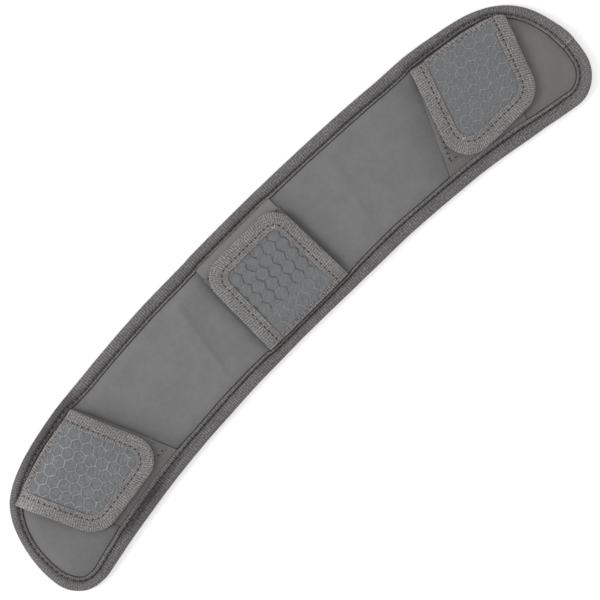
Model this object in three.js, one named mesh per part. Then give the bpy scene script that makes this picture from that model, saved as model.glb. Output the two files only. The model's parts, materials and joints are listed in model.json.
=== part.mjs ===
// A curved, padded back pad that is worn under a belt or strap. A foam core lies between a smooth face
// cover and an air-mesh back, and folded tape binds the edge. Three hook-and-loop flaps, hinged on
// alternate edges, close over the strap that runs along the face.
//
// Millimetres, +Z up. The pad lies on its back. X runs along its chord and +Y points to its convex side.

import * as THREE from 'three';

// Pad outline. It is drawn straight, with u along the centre line and w across it, and then bent.
const PAD_WIDTH = 90;
const PAD_HALF_LENGTH = 250.5;
const STRAIGHT_HALF_LENGTH = 29;
const CENTRE_LINE_RADIUS = 973;
const LEAD_RADIUS = 91.5;
const SHOULDER_RADIUS = 50;
const HEEL_RADIUS = 25.7;
const END_TURNS_DEG = [18.3, 34, 37, 90.7]; // lead-in, shoulder, nose and heel arcs
const END_ARC_STEPS = [2, 3, 4, 7];
const EDGE_SAMPLES = 34;

// Folded tape: one width binds the pad and the flaps.
const TAPE_WIDTH = 25.4;
const TAPE_THICKNESS = 0.6;

// Clearances between layers, at their seats and at the hinge.
const LAYER_GAP = 0.1;
const SEAT_GAP = 0.2;
const SIDE_GAP = 0.3;
const HINGE_GAP = 0.8;
const REST_GAP = 0.15;

// Pad layers: the edge is squeezed thin inside the binding, and the middle is full thickness.
const EDGE_FLOOR_CLEARANCE = 1.2;
const MESH_THICKNESS = 2;
const MESH_EDGE_THICKNESS = 1.2;
const FOAM_THICKNESS = 4.8;
const FOAM_EDGE_THICKNESS = 2.1;
const FACE_THICKNESS = 0.6;
const CROWN_RAMP = 8.3; // from the binding's lip to the flat of the crown
const CROWN_STEPS = 2;
const STACK_INSET = 2; // the layers stop short of the binding's rounded fold

// Edge binding: a rounded bead, with a stitched valley beside its lip.
const BEAD_HEIGHT = 6.8;
const BEAD_INSET = 4.2;
const BEAD_STEPS = 3;
const VALLEY_DEPTH = 0.6;
const VALLEY_WIDTH = 2.6;
const FOLD_INSET = 1.7;
const FOLD_RISE = 1.2;

// Sewing thread, pulled flat.
const THREAD_WIDTH = 0.6;
const THREAD_HEIGHT = 0.2;
const THREAD_SEAT = 0.05;

// Fabric and hook-and-loop pieces.
const PANEL_THICKNESS = 0.6;
const HEM_THICKNESS = 1;
const SHELL_THICKNESS = 0.5;
const LINING_THICKNESS = 0.4;
const LOOP_THICKNESS = 1;
const LOOP_EDGE_INSET = 17.7; // from the pad's edge under the flap's free edge to the loop patch
const LOOP_ROOT_INSET = 22.3; // from the pad's edge beside the hinge to the loop patch
const LOOP_STITCH_INSET = 1.2;
const HOOK_LENGTH = 25;
const HEM_WIDTH = 4;
const HEM_STITCH_INSET = 2.2;
const FLAP_RAMP = 8; // the flap climbs from its hinge onto the crown
const FLAP_RAMP_STEPS = 2;
const FLAP_STITCH_INSET = 7.8;
const FLAP_FILLET_STEPS = 4;
const LEAST_FILLET = 0.4;
const COLUMNS = 5;

// Stations, each with a flap and the panel under it. The first of each pair belongs to the side that is
// on the left, seen from the flap's root. The values along the centre line are counted from the pad's
// end, or on the middle station from the pad's middle, and the panel's are taken at the pad's edges.
// Insets are counted from the edge that the hinge or the free edge runs beside.
const LEFT_STATION = {
  end: -1,
  rootSide: 1,
  hingeAlong: [98.4, 29],
  hingeInsets: [10.8, 18.7],
  freeAlong: [117, 42.6],
  freeInsets: [16.4, 16.6],
  cornerRadii: [16.5, 19.5],
  panelRootAlong: [95.4, 34.5],
  panelLandingAlong: [123.3, 59],
};
const MIDDLE_STATION = {
  end: 0,
  rootSide: -1,
  hingeAlong: [-38.8, 32.3],
  hingeInsets: [14, 14],
  freeAlong: [-37.6, 30.5],
  freeInsets: [14.2, 14.2],
  cornerRadii: [15.5, 15],
  panelRootAlong: [-36.3, 29.9],
  panelLandingAlong: [-36.3, 29.9],
};
const RIGHT_STATION = {
  end: 1,
  rootSide: 1,
  hingeAlong: [32.8, 102.3],
  hingeInsets: [17, 12.1],
  freeAlong: [41.9, 117.8],
  freeInsets: [18.6, 9],
  cornerRadii: [19.5, 18.2],
  panelRootAlong: [36.5, 96],
  panelLandingAlong: [62.5, 127.4],
};

const FACE_COLOUR = 0x797979;
const TAPE_COLOUR = 0x7c7a79;
const BINDING_COLOUR = 0x686462;
const SHELL_COLOUR = 0x717474;
const PANEL_COLOUR = 0x7e7c7d;
const DARK_COLOUR = 0x3c3b3a;
const FOAM_COLOUR = 0x2c2c2e;

const radians = THREE.MathUtils.degToRad;
const lerp = THREE.MathUtils.lerp;
const HALF_WIDTH = PAD_WIDTH / 2;
const BINDING_LEG = (TAPE_WIDTH - BEAD_HEIGHT) / 2;
const CROWN_INSET = BINDING_LEG + CROWN_RAMP;
const FLAP_STACK_INSET = TAPE_THICKNESS + SIDE_GAP;

// Heights of the pad's layers at the edge and in the middle.
const MESH_BOTTOM = { edge: EDGE_FLOOR_CLEARANCE, middle: 0 };
const MESH_TOP = {
  edge: MESH_BOTTOM.edge + MESH_EDGE_THICKNESS,
  middle: MESH_THICKNESS,
};
const FOAM_BOTTOM = raised(MESH_TOP, LAYER_GAP);
const FOAM_TOP = {
  edge: FOAM_BOTTOM.edge + FOAM_EDGE_THICKNESS,
  middle: FOAM_BOTTOM.middle + FOAM_THICKNESS,
};
const FACE_BOTTOM = raised(FOAM_TOP, LAYER_GAP);
const FACE_TOP = raised(FACE_BOTTOM, FACE_THICKNESS);
const PANEL_BOTTOM = raised(FACE_TOP, SEAT_GAP);
const PANEL_TOP = raised(PANEL_BOTTOM, PANEL_THICKNESS);
const LOOP_BOTTOM_Z = PANEL_TOP.middle + LAYER_GAP;
const LOOP_TOP_Z = LOOP_BOTTOM_Z + LOOP_THICKNESS;

// Heights inside a flap, from the underside of its tape.
const FLAP_LEVELS = {
  lining: TAPE_THICKNESS + LAYER_GAP,
  shell: TAPE_THICKNESS + LINING_THICKNESS + 2 * LAYER_GAP,
};
FLAP_LEVELS.tape = FLAP_LEVELS.shell + SHELL_THICKNESS + LAYER_GAP;
FLAP_LEVELS.top = FLAP_LEVELS.tape + TAPE_THICKNESS;
const FLAP_LEG = (TAPE_WIDTH - FLAP_LEVELS.top) / 2;
const FLAP_FLAT_Z = LOOP_TOP_Z + THREAD_SEAT + THREAD_HEIGHT + REST_GAP;
const FLAP_ROOT_Z = LOOP_BOTTOM_Z;
const HEM_ROOT_Z = BEAD_HEIGHT + SEAT_GAP;
const HINGE_Z = FLAP_ROOT_Z + FLAP_LEVELS.top;

function raised(level, rise) {
  return { edge: level.edge + rise, middle: level.middle + rise };
}

// A ramp from 0 to 1 in a few straight steps that follow a quarter of a sine wave.
function ramp(share, steps) {
  const scaled = THREE.MathUtils.clamp(share, 0, 1) * steps;
  const step = Math.min(Math.floor(scaled), steps - 1);
  const rise = (count) => Math.sin((count / steps) * (Math.PI / 2));
  return lerp(rise(step), rise(step + 1), scaled - step);
}

// Height of a layer at a distance in from the pad's edge.
function heightAt(level, inset) {
  const share = ramp((inset - BINDING_LEG) / CROWN_RAMP, CROWN_STEPS);
  return lerp(level.edge, level.middle, share);
}

// Bends the straight pad: the middle stays straight, and both ends follow the centre line's radius.
function bend(u, w) {
  const along = Math.abs(u) - STRAIGHT_HALF_LENGTH;
  if (along <= 0) return new THREE.Vector2(u, w);
  const angle = along / CENTRE_LINE_RADIUS;
  const radius = CENTRE_LINE_RADIUS + w;
  return new THREE.Vector2(
    Math.sign(u) * (STRAIGHT_HALF_LENGTH + radius * Math.sin(angle)),
    radius * Math.cos(angle) - CENTRE_LINE_RADIUS,
  );
}

// The right-hand end as a chain of tangent arcs, from the convex edge round to the concave one.
// The nose arc takes the radius that closes the chain on the pad's width.
function endArcs() {
  const turns = [0];
  END_TURNS_DEG.forEach((turn) => turns.push(turns[turns.length - 1] + radians(turn)));
  const drops = turns.slice(1).map((turn, k) => Math.cos(turns[k]) - Math.cos(turn));
  const known = LEAD_RADIUS * drops[0] + SHOULDER_RADIUS * drops[1] + HEEL_RADIUS * drops[3];
  const radii = [LEAD_RADIUS, SHOULDER_RADIUS, (PAD_WIDTH - known) / drops[2], HEEL_RADIUS];
  const samples = [{ u: 0, w: HALF_WIDTH, turn: 0 }];
  radii.forEach((radius, k) => {
    const from = samples[samples.length - 1];
    for (let step = 1; step <= END_ARC_STEPS[k]; step += 1) {
      const turn = lerp(turns[k], turns[k + 1], step / END_ARC_STEPS[k]);
      samples.push({
        u: from.u + radius * (Math.sin(turn) - Math.sin(turns[k])),
        w: from.w - radius * (Math.cos(turns[k]) - Math.cos(turn)),
        turn,
      });
    }
  });
  // The furthest point lies on the nose or heel arc, where the chain has turned through 90 degrees.
  const k = turns[3] >= Math.PI / 2 ? 2 : 3;
  const before = samples[END_ARC_STEPS.slice(0, k).reduce((sum, count) => sum + count, 0)];
  const reach = before.u + radii[k] * (1 - Math.sin(turns[k]));
  return samples.map(({ u, w, turn }) => ({
    u: u + PAD_HALF_LENGTH - reach,
    w,
    inward: new THREE.Vector2(-Math.sin(turn), -Math.cos(turn)),
  }));
}

const mirrored = ({ u, w, inward }) => ({
  u: -u,
  w,
  inward: new THREE.Vector2(-inward.x, inward.y),
});

// Points round the pad: convex edge from left to right, right end, concave edge from right to left,
// left end.
function padOutline() {
  const right = endArcs();
  const left = right.map(mirrored).reverse();
  const edge = (from, to) =>
    Array.from({ length: EDGE_SAMPLES }, (_, k) => ({
      u: lerp(from.u, to.u, k / (EDGE_SAMPLES - 1)),
      w: from.w,
      inward: from.inward,
    }));
  return [
    ...edge(left[left.length - 1], right[0]),
    ...right.slice(1, -1),
    ...edge(right[right.length - 1], left[0]),
    ...left.slice(1, -1),
  ];
}

const OUTLINE = padOutline();
const END_SAMPLES = OUTLINE.length / 2 - EDGE_SAMPLES;

// Distance in from the pad's edge at (u, w), negative outside it.
function insetOf(u, w) {
  const point = new THREE.Vector2(u, w);
  const nearest = new THREE.Vector3();
  let distance = Infinity;
  let inside = false;
  OUTLINE.forEach((from, k) => {
    const to = OUTLINE[(k + 1) % OUTLINE.length];
    const line = new THREE.Line3(new THREE.Vector3(from.u, from.w), new THREE.Vector3(to.u, to.w));
    line.closestPointToPoint(new THREE.Vector3(u, w), true, nearest);
    distance = Math.min(distance, point.distanceTo(nearest));
    const crosses = from.w > w !== to.w > w;
    if (crosses && u < from.u + ((w - from.w) / (to.w - from.w)) * (to.u - from.u)) inside = !inside;
  });
  return inside ? distance : -distance;
}

// The point on the way from one edge point towards another where the pad's edge is a given inset away.
function pointAtInset(from, towards, inset) {
  let low = 0;
  let high = 1 / 2;
  const at = (share) => ({
    u: lerp(from.u, towards.u, share),
    w: lerp(from.w, towards.w, share),
  });
  for (let round = 0; round < 40; round += 1) {
    const share = (low + high) / 2;
    const { u, w } = at(share);
    if (insetOf(u, w) < inset) low = share;
    else high = share;
  }
  return at(high);
}

// Collects points and triangles, and makes a closed geometry that faces out.
class Skin {
  points = [];
  faces = [];

  add(point) {
    return this.points.push(point) - 1;
  }

  quad(a, b, c, d) {
    this.faces.push([a, b, c], [a, c, d]);
  }

  // Joins rings of point numbers, each to the next. Closed rings join their last point to their first.
  joinRings(rings, closed, ringsClosed) {
    const last = rings.length - (ringsClosed ? 0 : 1);
    for (let k = 0; k < last; k += 1) {
      const ring = rings[k];
      const next = rings[(k + 1) % rings.length];
      for (let i = 0; i < ring.length - (closed ? 0 : 1); i += 1) {
        const j = (i + 1) % ring.length;
        this.quad(ring[i], ring[j], next[j], next[i]);
      }
    }
  }

  // Fills an outline, seen in a plan of it. Its triangles run the same way round as the outline, or
  // the other way when turned.
  fill(outline, plan, turned) {
    const backwards = THREE.ShapeUtils.isClockWise(plan) !== turned;
    THREE.ShapeUtils.triangulateShape(plan, []).forEach(([a, b, c]) => {
      const face = [outline[a], outline[b], outline[c]];
      this.faces.push(backwards ? face.reverse() : face);
    });
  }

  geometry() {
    const volume = this.faces.reduce((sum, [a, b, c]) => {
      const [p, q, r] = [this.points[a], this.points[b], this.points[c]];
      return sum + p.dot(new THREE.Vector3().crossVectors(q, r));
    }, 0);
    const index = this.faces.flatMap((face) => (volume < 0 ? [...face].reverse() : face));
    const made = new THREE.BufferGeometry().setFromPoints(this.points);
    made.setIndex(index);
    made.computeVertexNormals();
    return made;
  }
}

// A ring round the pad at one inset and height.
function addPadRing(skin, inset, z) {
  return OUTLINE.map(({ u, w, inward }) => {
    const { x, y } = bend(u + inward.x * inset, w + inward.y * inset);
    return skin.add(new THREE.Vector3(x, y, z));
  });
}

// Fills the inside of a pad ring with rungs from edge to edge and a fan at each end.
function fillPadRing(skin, ring, turned) {
  const across = (k) => 2 * EDGE_SAMPLES + END_SAMPLES - 1 - k;
  for (let k = 0; k < EDGE_SAMPLES - 1; k += 1) {
    const corners = [ring[k], ring[k + 1], ring[across(k + 1)], ring[across(k)]];
    skin.quad(...(turned ? corners.reverse() : corners));
  }
  const flat = (number) => new THREE.Vector2(skin.points[number].x, skin.points[number].y);
  const rightEnd = ring.slice(EDGE_SAMPLES - 1, EDGE_SAMPLES + END_SAMPLES + 1);
  const leftEnd = [...ring.slice(2 * EDGE_SAMPLES + END_SAMPLES - 1), ring[0]];
  [rightEnd, leftEnd].forEach((end) => skin.fill(end, end.map(flat), turned));
}

// One layer of the pad between two levels, with the insets at which each surface has its bends.
function padLayer(bottom, bottomInsets, top, topInsets) {
  const skin = new Skin();
  const rows = [
    ...[...bottomInsets].reverse().map((inset) => [inset, heightAtRow(bottom, inset, bottomInsets)]),
    ...topInsets.map((inset) => [inset, heightAtRow(top, inset, topInsets)]),
  ];
  const rings = rows.map(([inset, z]) => addPadRing(skin, inset, z));
  skin.joinRings(rings, true, false);
  fillPadRing(skin, rings[0], true);
  fillPadRing(skin, rings[rings.length - 1], false);
  return skin.geometry();
}

// A surface with no bend between its rim and the crown runs straight from one to the other.
function heightAtRow(level, inset, insets) {
  if (inset === insets[0]) return level.edge;
  if (inset === insets[insets.length - 1]) return level.middle;
  return heightAt(level, inset);
}

// A closed ring round the pad with a section given as [inset, z] points.
function padRing(section) {
  const skin = new Skin();
  skin.joinRings(section.map(([inset, z]) => addPadRing(skin, inset, z)), true, true);
  return skin.geometry();
}

// A flat thread's section, lying on a surface or hanging under it.
function threadSection(inset, z) {
  return [
    [inset - THREAD_WIDTH / 2, z],
    [inset + THREAD_WIDTH / 2, z],
    [inset + THREAD_WIDTH / 2, z + THREAD_HEIGHT],
    [inset - THREAD_WIDTH / 2, z + THREAD_HEIGHT],
  ];
}

// The edge binding's section: a bead round the pad's rim, and a leg along the face and the back.
function bindingSection() {
  const half = BEAD_HEIGHT / 2;
  const quarter = (turn) => [
    BEAD_INSET * (1 - Math.cos(turn)),
    half + half * Math.sin(turn),
  ];
  const bead = Array.from({ length: BEAD_STEPS + 1 }, (_, k) => quarter(((k / BEAD_STEPS) * Math.PI) / 2));
  const valley = BINDING_LEG - VALLEY_WIDTH;
  const top = FACE_TOP.edge + LAYER_GAP;
  const bottom = MESH_BOTTOM.edge - LAYER_GAP;
  return [
    ...bead,
    [valley, BEAD_HEIGHT - VALLEY_DEPTH],
    [BINDING_LEG, BEAD_HEIGHT - VALLEY_DEPTH],
    [BINDING_LEG, top],
    [FOLD_INSET, top],
    [TAPE_THICKNESS, top - FOLD_RISE],
    [TAPE_THICKNESS, bottom + FOLD_RISE],
    [FOLD_INSET, bottom],
    [BINDING_LEG, bottom],
    [BINDING_LEG, VALLEY_DEPTH],
    [valley, VALLEY_DEPTH],
    ...bead.slice(1).reverse().map(([inset, z]) => [inset, BEAD_HEIGHT - z]),
  ];
}

// A draped strip: rows of (u, w) points, each row with its inset, between two levels.
function drapedStrip(rows, bottom, top) {
  const skin = new Skin();
  const surface = (level) =>
    rows.map((row) =>
      row.map(({ u, w, inset }) => {
        const { x, y } = bend(u, w);
        return skin.add(new THREE.Vector3(x, y, heightAt(level, inset)));
      }),
    );
  const low = surface(bottom);
  const high = surface(top);
  skin.joinRings([...low].reverse(), false, false);
  skin.joinRings(high, false, false);
  const rim = (grid) => [
    ...grid[0],
    ...grid.slice(1, -1).map((row) => row[row.length - 1]),
    ...[...grid[grid.length - 1]].reverse(),
    ...grid.slice(1, -1).map((row) => row[0]).reverse(),
  ];
  skin.joinRings([rim(low), rim(high)], true, false);
  return skin.geometry();
}

// Distances along a station, as u values on the centre line.
function alongToU({ end }, along) {
  return along.map((distance) => (end ? end * (PAD_HALF_LENGTH - distance) : distance));
}

// A line across a panel at a share of its width, from its root edge to its landing edge.
function panelLine(station, share) {
  const w = station.rootSide * HALF_WIDTH;
  return [
    { u: lerp(...alongToU(station, station.panelRootAlong), share), w },
    { u: lerp(...alongToU(station, station.panelLandingAlong), share), w: -w },
  ];
}

// The fabric panel under a flap, from one binding to the other.
function basePanel(station) {
  const insets = [BINDING_LEG + SIDE_GAP];
  for (let k = 1; k <= CROWN_STEPS; k += 1) insets.push(BINDING_LEG + (CROWN_RAMP * k) / CROWN_STEPS);
  const ends = Array.from({ length: COLUMNS + 1 }, (_, k) => panelLine(station, k / COLUMNS));
  const row = (inset, fromLanding) =>
    ends.map(([root, landing]) => ({
      ...(fromLanding ? pointAtInset(landing, root, inset) : pointAtInset(root, landing, inset)),
      inset,
    }));
  const rows = [
    ...insets.map((inset) => row(inset, false)),
    ...[...insets].reverse().map((inset) => row(inset, true)),
  ];
  return drapedStrip(rows, PANEL_BOTTOM, PANEL_TOP);
}

// A plate with the same thickness all over, from the corners of its underside.
function plate(corners, thickness) {
  const skin = new Skin();
  const rise = new THREE.Vector3(0, 0, thickness);
  const rings = [
    corners.map((corner) => skin.add(corner.clone())),
    corners.map((corner) => skin.add(corner.clone().add(rise))),
  ];
  const plan = corners.map(({ x, y }) => new THREE.Vector2(x, y));
  skin.joinRings(rings, true, false);
  rings.forEach((ring, side) => skin.fill(ring, plan, side === 0));
  return skin.geometry();
}

const atHeight = ({ x, y }, z) => new THREE.Vector3(x, y, z);

// A strip beside the hinge, between two distances behind it. It slopes down to the root line, where it
// lies over the binding, and its ends follow the flap's sides.
function hemStrip({ frame }, nearer, farther, lift, thickness) {
  const slope = (distance) => {
    const share = (distance - HINGE_GAP) / (HEM_WIDTH - HINGE_GAP);
    return lerp(FLAP_ROOT_Z, HEM_ROOT_Z, share) - HINGE_Z + lift;
  };
  const behind = (side, distance) => {
    const along = frame.free[side].clone().sub(frame.root[side]);
    return frame.root[side].clone().addScaledVector(along, -distance / along.y);
  };
  const corners = [[0, nearer], [1, nearer], [1, farther], [0, farther]];
  return plate(
    corners.map(([side, distance]) => atHeight(behind(side, distance), slope(distance))),
    thickness,
  );
}

function rootHem(station) {
  return hemStrip(station, HINGE_GAP, HEM_WIDTH, 0, HEM_THICKNESS);
}

// The row of stitches along the hem.
function rootThread(station) {
  const farther = HEM_WIDTH - HEM_STITCH_INSET + THREAD_WIDTH;
  const lift = HEM_THICKNESS + THREAD_SEAT;
  return hemStrip(station, farther - THREAD_WIDTH, farther, lift, THREAD_HEIGHT);
}

// The plan of the loop patch: as wide as the panel, with a margin all round.
function loopCorners(station, margin) {
  const near = LOOP_EDGE_INSET + margin;
  const far = PAD_WIDTH - LOOP_ROOT_INSET - margin;
  const [left, right] = alongToU(station, station.panelLandingAlong);
  const side = margin / Math.abs(right - left);
  const at = (across, inset) => {
    const [root, landing] = panelLine(station, across);
    const share = inset / PAD_WIDTH;
    return bend(lerp(landing.u, root.u, share), lerp(landing.w, root.w, share));
  };
  return [at(side, near), at(1 - side, near), at(1 - side, far), at(side, far)];
}

function loopPatch(station) {
  return plate(loopCorners(station, 0).map((corner) => atHeight(corner, LOOP_BOTTOM_Z)), LOOP_THICKNESS);
}

// The stitches round the loop patch, as one closed ring.
function loopThread(station) {
  const skin = new Skin();
  const rings = threadSection(LOOP_STITCH_INSET, LOOP_TOP_Z + THREAD_SEAT).map(([inset, z]) =>
    loopCorners(station, inset).map((corner) => skin.add(atHeight(corner, z))),
  );
  skin.joinRings(rings, true, true);
  return skin.geometry();
}

// A flap's own frame: X along the hinge, Y towards the free edge, Z up from the hinge's axis.
function hingeFrame(station) {
  const side = station.rootSide;
  const points = (along, wOf) => alongToU(station, along).map((u, k) => bend(u, wOf(k)));
  const ends = points(station.hingeAlong, (k) => side * (HALF_WIDTH - station.hingeInsets[k]));
  const corners = points(station.freeAlong, (k) => -side * (HALF_WIDTH - station.freeInsets[k]));
  const direction = ends[1].clone().sub(ends[0]).normalize();
  const middle = ends[0].clone().add(ends[1]).multiplyScalar(1 / 2);
  const local = (point) => {
    const offset = point.clone().sub(middle);
    return new THREE.Vector2(offset.dot(direction), direction.cross(offset));
  };
  return {
    middle,
    angle: direction.angle(),
    root: ends.map(local),
    free: corners.map(local),
  };
}

// The flap's edge in its own frame, inset by a distance: down one side, round the free end and back.
// Every inset gives the same number of points, so that insets can be joined point by point.
function flapContour(station, inset) {
  const { root, free } = station.frame;
  const sides = [[root[0], free[0]], [free[0], free[1]], [free[1], root[1]]];
  const lines = sides.map(([from, to]) => {
    const along = to.clone().sub(from).normalize();
    const inward = new THREE.Vector2(along.y, -along.x);
    return { point: from.clone().addScaledVector(inward, inset), along };
  });
  const rootLine = { point: root[0], along: new THREE.Vector2(1, 0) };
  const corners = [
    crossing(rootLine, lines[0]),
    crossing(lines[0], lines[1]),
    crossing(lines[1], lines[2]),
    crossing(lines[2], rootLine),
  ];
  const climb = Array.from({ length: FLAP_RAMP_STEPS + 1 }, (_, k) => (FLAP_RAMP * k) / FLAP_RAMP_STEPS);
  const onSide = (from, to) => climb.map((y) => from.clone().lerp(to, (y - from.y) / (to.y - from.y)));
  const fillets = [1, 2].map((k) => {
    const radius = Math.max(station.cornerRadii[k - 1] - inset, LEAST_FILLET);
    return fillet(corners[k - 1], corners[k], corners[k + 1], radius);
  });
  return [
    ...onSide(corners[0], corners[1]),
    ...fillets[0],
    ...fillets[1],
    ...onSide(corners[3], corners[2]).reverse(),
  ];
}

function crossing(one, other) {
  const between = other.point.clone().sub(one.point);
  const share = between.cross(other.along) / one.along.cross(other.along);
  return one.point.clone().addScaledVector(one.along, share);
}

// An arc that rounds the corner between two lines.
function fillet(before, corner, after, radius) {
  const toBefore = before.clone().sub(corner).normalize();
  const toAfter = after.clone().sub(corner).normalize();
  const halfAngle = Math.acos(THREE.MathUtils.clamp(toBefore.dot(toAfter), -1, 1)) / 2;
  const bisector = toBefore.clone().add(toAfter).normalize();
  const centre = corner.clone().addScaledVector(bisector, radius / Math.sin(halfAngle));
  const start = corner.clone().addScaledVector(toBefore, radius / Math.tan(halfAngle));
  const sweep = Math.PI - 2 * halfAngle;
  const sense = Math.sign(toAfter.cross(toBefore));
  return Array.from({ length: FLAP_FILLET_STEPS + 1 }, (_, k) =>
    start.clone().rotateAround(centre, (sense * sweep * k) / FLAP_FILLET_STEPS),
  );
}

// Height of the underside of a flap's tape from the hinge's axis, at a distance from the hinge.
function flapBase(y) {
  return lerp(FLAP_ROOT_Z, FLAP_FLAT_Z, ramp(y / FLAP_RAMP, FLAP_RAMP_STEPS)) - HINGE_Z;
}

// One fabric layer of a flap, held in its tape.
function flapPlate(station, low, high) {
  const skin = new Skin();
  const contour = flapContour(station, FLAP_STACK_INSET);
  const last = contour.length - 1;
  const rings = [low, high].map((level) =>
    contour.map(({ x, y }) => skin.add(new THREE.Vector3(x, y, flapBase(y) + level))),
  );
  skin.joinRings(rings, true, false);
  rings.forEach((ring, side) => {
    for (let k = 0; k < FLAP_RAMP_STEPS; k += 1) {
      const corners = [ring[k], ring[k + 1], ring[last - 1 - k], ring[last - k]];
      skin.quad(...(side ? corners : corners.reverse()));
    }
    const flat = (points) => points.slice(FLAP_RAMP_STEPS, points.length - FLAP_RAMP_STEPS);
    skin.fill(flat(ring), flat(contour), side === 0);
  });
  return skin.geometry();
}

// A strip that follows the flap's edge, with a section given as [inset, level] points.
function flapStrip(station, section) {
  const skin = new Skin();
  const lines = section.map(([inset, level]) =>
    flapContour(station, inset).map(({ x, y }) => skin.add(new THREE.Vector3(x, y, flapBase(y) + level))),
  );
  skin.joinRings(lines, false, true);
  const plan = section.map(([inset, level]) => new THREE.Vector2(inset, level));
  const end = lines[0].length - 1;
  skin.fill(lines.map((line) => line[0]), plan, false);
  skin.fill(lines.map((line) => line[end]), plan, true);
  return skin.geometry();
}

function flapBindingSection() {
  const { lining, tape, top } = FLAP_LEVELS;
  const lower = lining - LAYER_GAP;
  const rounding = TAPE_THICKNESS;
  return [
    [0, rounding],
    [rounding, 0],
    [FLAP_LEG, 0],
    [FLAP_LEG, lower],
    [TAPE_THICKNESS, lower],
    [TAPE_THICKNESS, tape],
    [FLAP_LEG, tape],
    [FLAP_LEG, top],
    [rounding, top],
    [0, top - rounding],
  ];
}

// The hook patch fills the tape's window at the free end of the flap.
function hookPatch(station) {
  const contour = flapContour(station, FLAP_LEG + SIDE_GAP);
  const start = FLAP_RAMP_STEPS + 1;
  const free = [contour[start + FLAP_FILLET_STEPS], contour[start + FLAP_FILLET_STEPS + 1]];
  const sides = [contour[0], contour[contour.length - 1]];
  const back = free.map((corner, k) => {
    const towardsRoot = sides[k].clone().sub(corner).normalize();
    return corner.clone().addScaledVector(towardsRoot, HOOK_LENGTH);
  });
  const z = flapBase(FLAP_RAMP);
  const corners = [free[0], free[1], back[1], back[0]].map((corner) => atHeight(corner, z));
  return plate(corners, TAPE_THICKNESS);
}

const part = new THREE.Group();

function addPiece(parent, name, geometry, color, roughness = 0.9) {
  const mesh = new THREE.Mesh(
    geometry,
    new THREE.MeshStandardMaterial({ color, roughness, metalness: 0 }),
  );
  mesh.name = name;
  parent.add(mesh);
}

function addPad() {
  const bends = [];
  for (let k = 0; k <= CROWN_STEPS; k += 1) bends.push(BINDING_LEG + (CROWN_RAMP * k) / CROWN_STEPS);
  const full = [STACK_INSET, ...bends];
  const plain = [STACK_INSET, CROWN_INSET];
  addPiece(part, 'back_mesh', padLayer(MESH_BOTTOM, full, MESH_TOP, plain), DARK_COLOUR, 1);
  addPiece(part, 'foam_core', padLayer(FOAM_BOTTOM, plain, FOAM_TOP, full), FOAM_COLOUR);
  addPiece(part, 'face_cover', padLayer(FACE_BOTTOM, full, FACE_TOP, full), FACE_COLOUR, 0.7);
  addPiece(part, 'edge_binding', padRing(bindingSection()), BINDING_COLOUR);
  const stitchInset = BINDING_LEG - VALLEY_WIDTH / 2;
  const frontZ = BEAD_HEIGHT - VALLEY_DEPTH + THREAD_SEAT;
  const backZ = VALLEY_DEPTH - THREAD_SEAT - THREAD_HEIGHT;
  addPiece(part, 'edge_thread_front', padRing(threadSection(stitchInset, frontZ)), DARK_COLOUR);
  addPiece(part, 'edge_thread_back', padRing(threadSection(stitchInset, backZ)), DARK_COLOUR);
}

function addStation(name, sizes) {
  const station = { ...sizes, frame: hingeFrame(sizes) };
  addPiece(part, `base_panel_${name}`, basePanel(station), PANEL_COLOUR);
  addPiece(part, `loop_patch_${name}`, loopPatch(station), DARK_COLOUR, 1);
  addPiece(part, `loop_thread_${name}`, loopThread(station), DARK_COLOUR);

  // The hem is placed like the flap, but stays with the pad.
  const [hem, flap] = [new THREE.Group(), new THREE.Group()];
  [hem, flap].forEach((group) => {
    group.position.set(station.frame.middle.x, station.frame.middle.y, HINGE_Z);
    group.rotation.z = station.frame.angle;
    part.add(group);
  });
  addPiece(hem, `root_hem_${name}`, rootHem(station), TAPE_COLOUR);
  addPiece(hem, `root_thread_${name}`, rootThread(station), DARK_COLOUR);

  const { lining, shell, tape, top } = FLAP_LEVELS;
  addPiece(flap, `flap_shell_${name}`, flapPlate(station, shell, tape - LAYER_GAP), SHELL_COLOUR, 0.6);
  addPiece(flap, `flap_lining_${name}`, flapPlate(station, lining, shell - LAYER_GAP), PANEL_COLOUR);
  addPiece(flap, `flap_binding_${name}`, flapStrip(station, flapBindingSection()), TAPE_COLOUR);
  const stitches = threadSection(FLAP_STITCH_INSET, top + THREAD_SEAT);
  addPiece(flap, `flap_thread_${name}`, flapStrip(station, stitches), DARK_COLOUR);
  addPiece(flap, `hook_patch_${name}`, hookPatch(station), DARK_COLOUR, 1);
}

addPad();
addStation('left', LEFT_STATION);
addStation('middle', MIDDLE_STATION);
addStation('right', RIGHT_STATION);

// The origin is below the middle of the pad's bounding box.
const plan = new THREE.Box2().setFromPoints(OUTLINE.map(({ u, w }) => bend(u, w)));
const centre = plan.getCenter(new THREE.Vector2());
part.position.set(-centre.x, -centre.y, 0);

export default part;
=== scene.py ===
import json
import math
from types import SimpleNamespace

import bmesh
import bpy
import numpy as np
from bpy.props import FloatProperty, FloatVectorProperty, PointerProperty
from mathutils import Matrix, Vector


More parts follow.
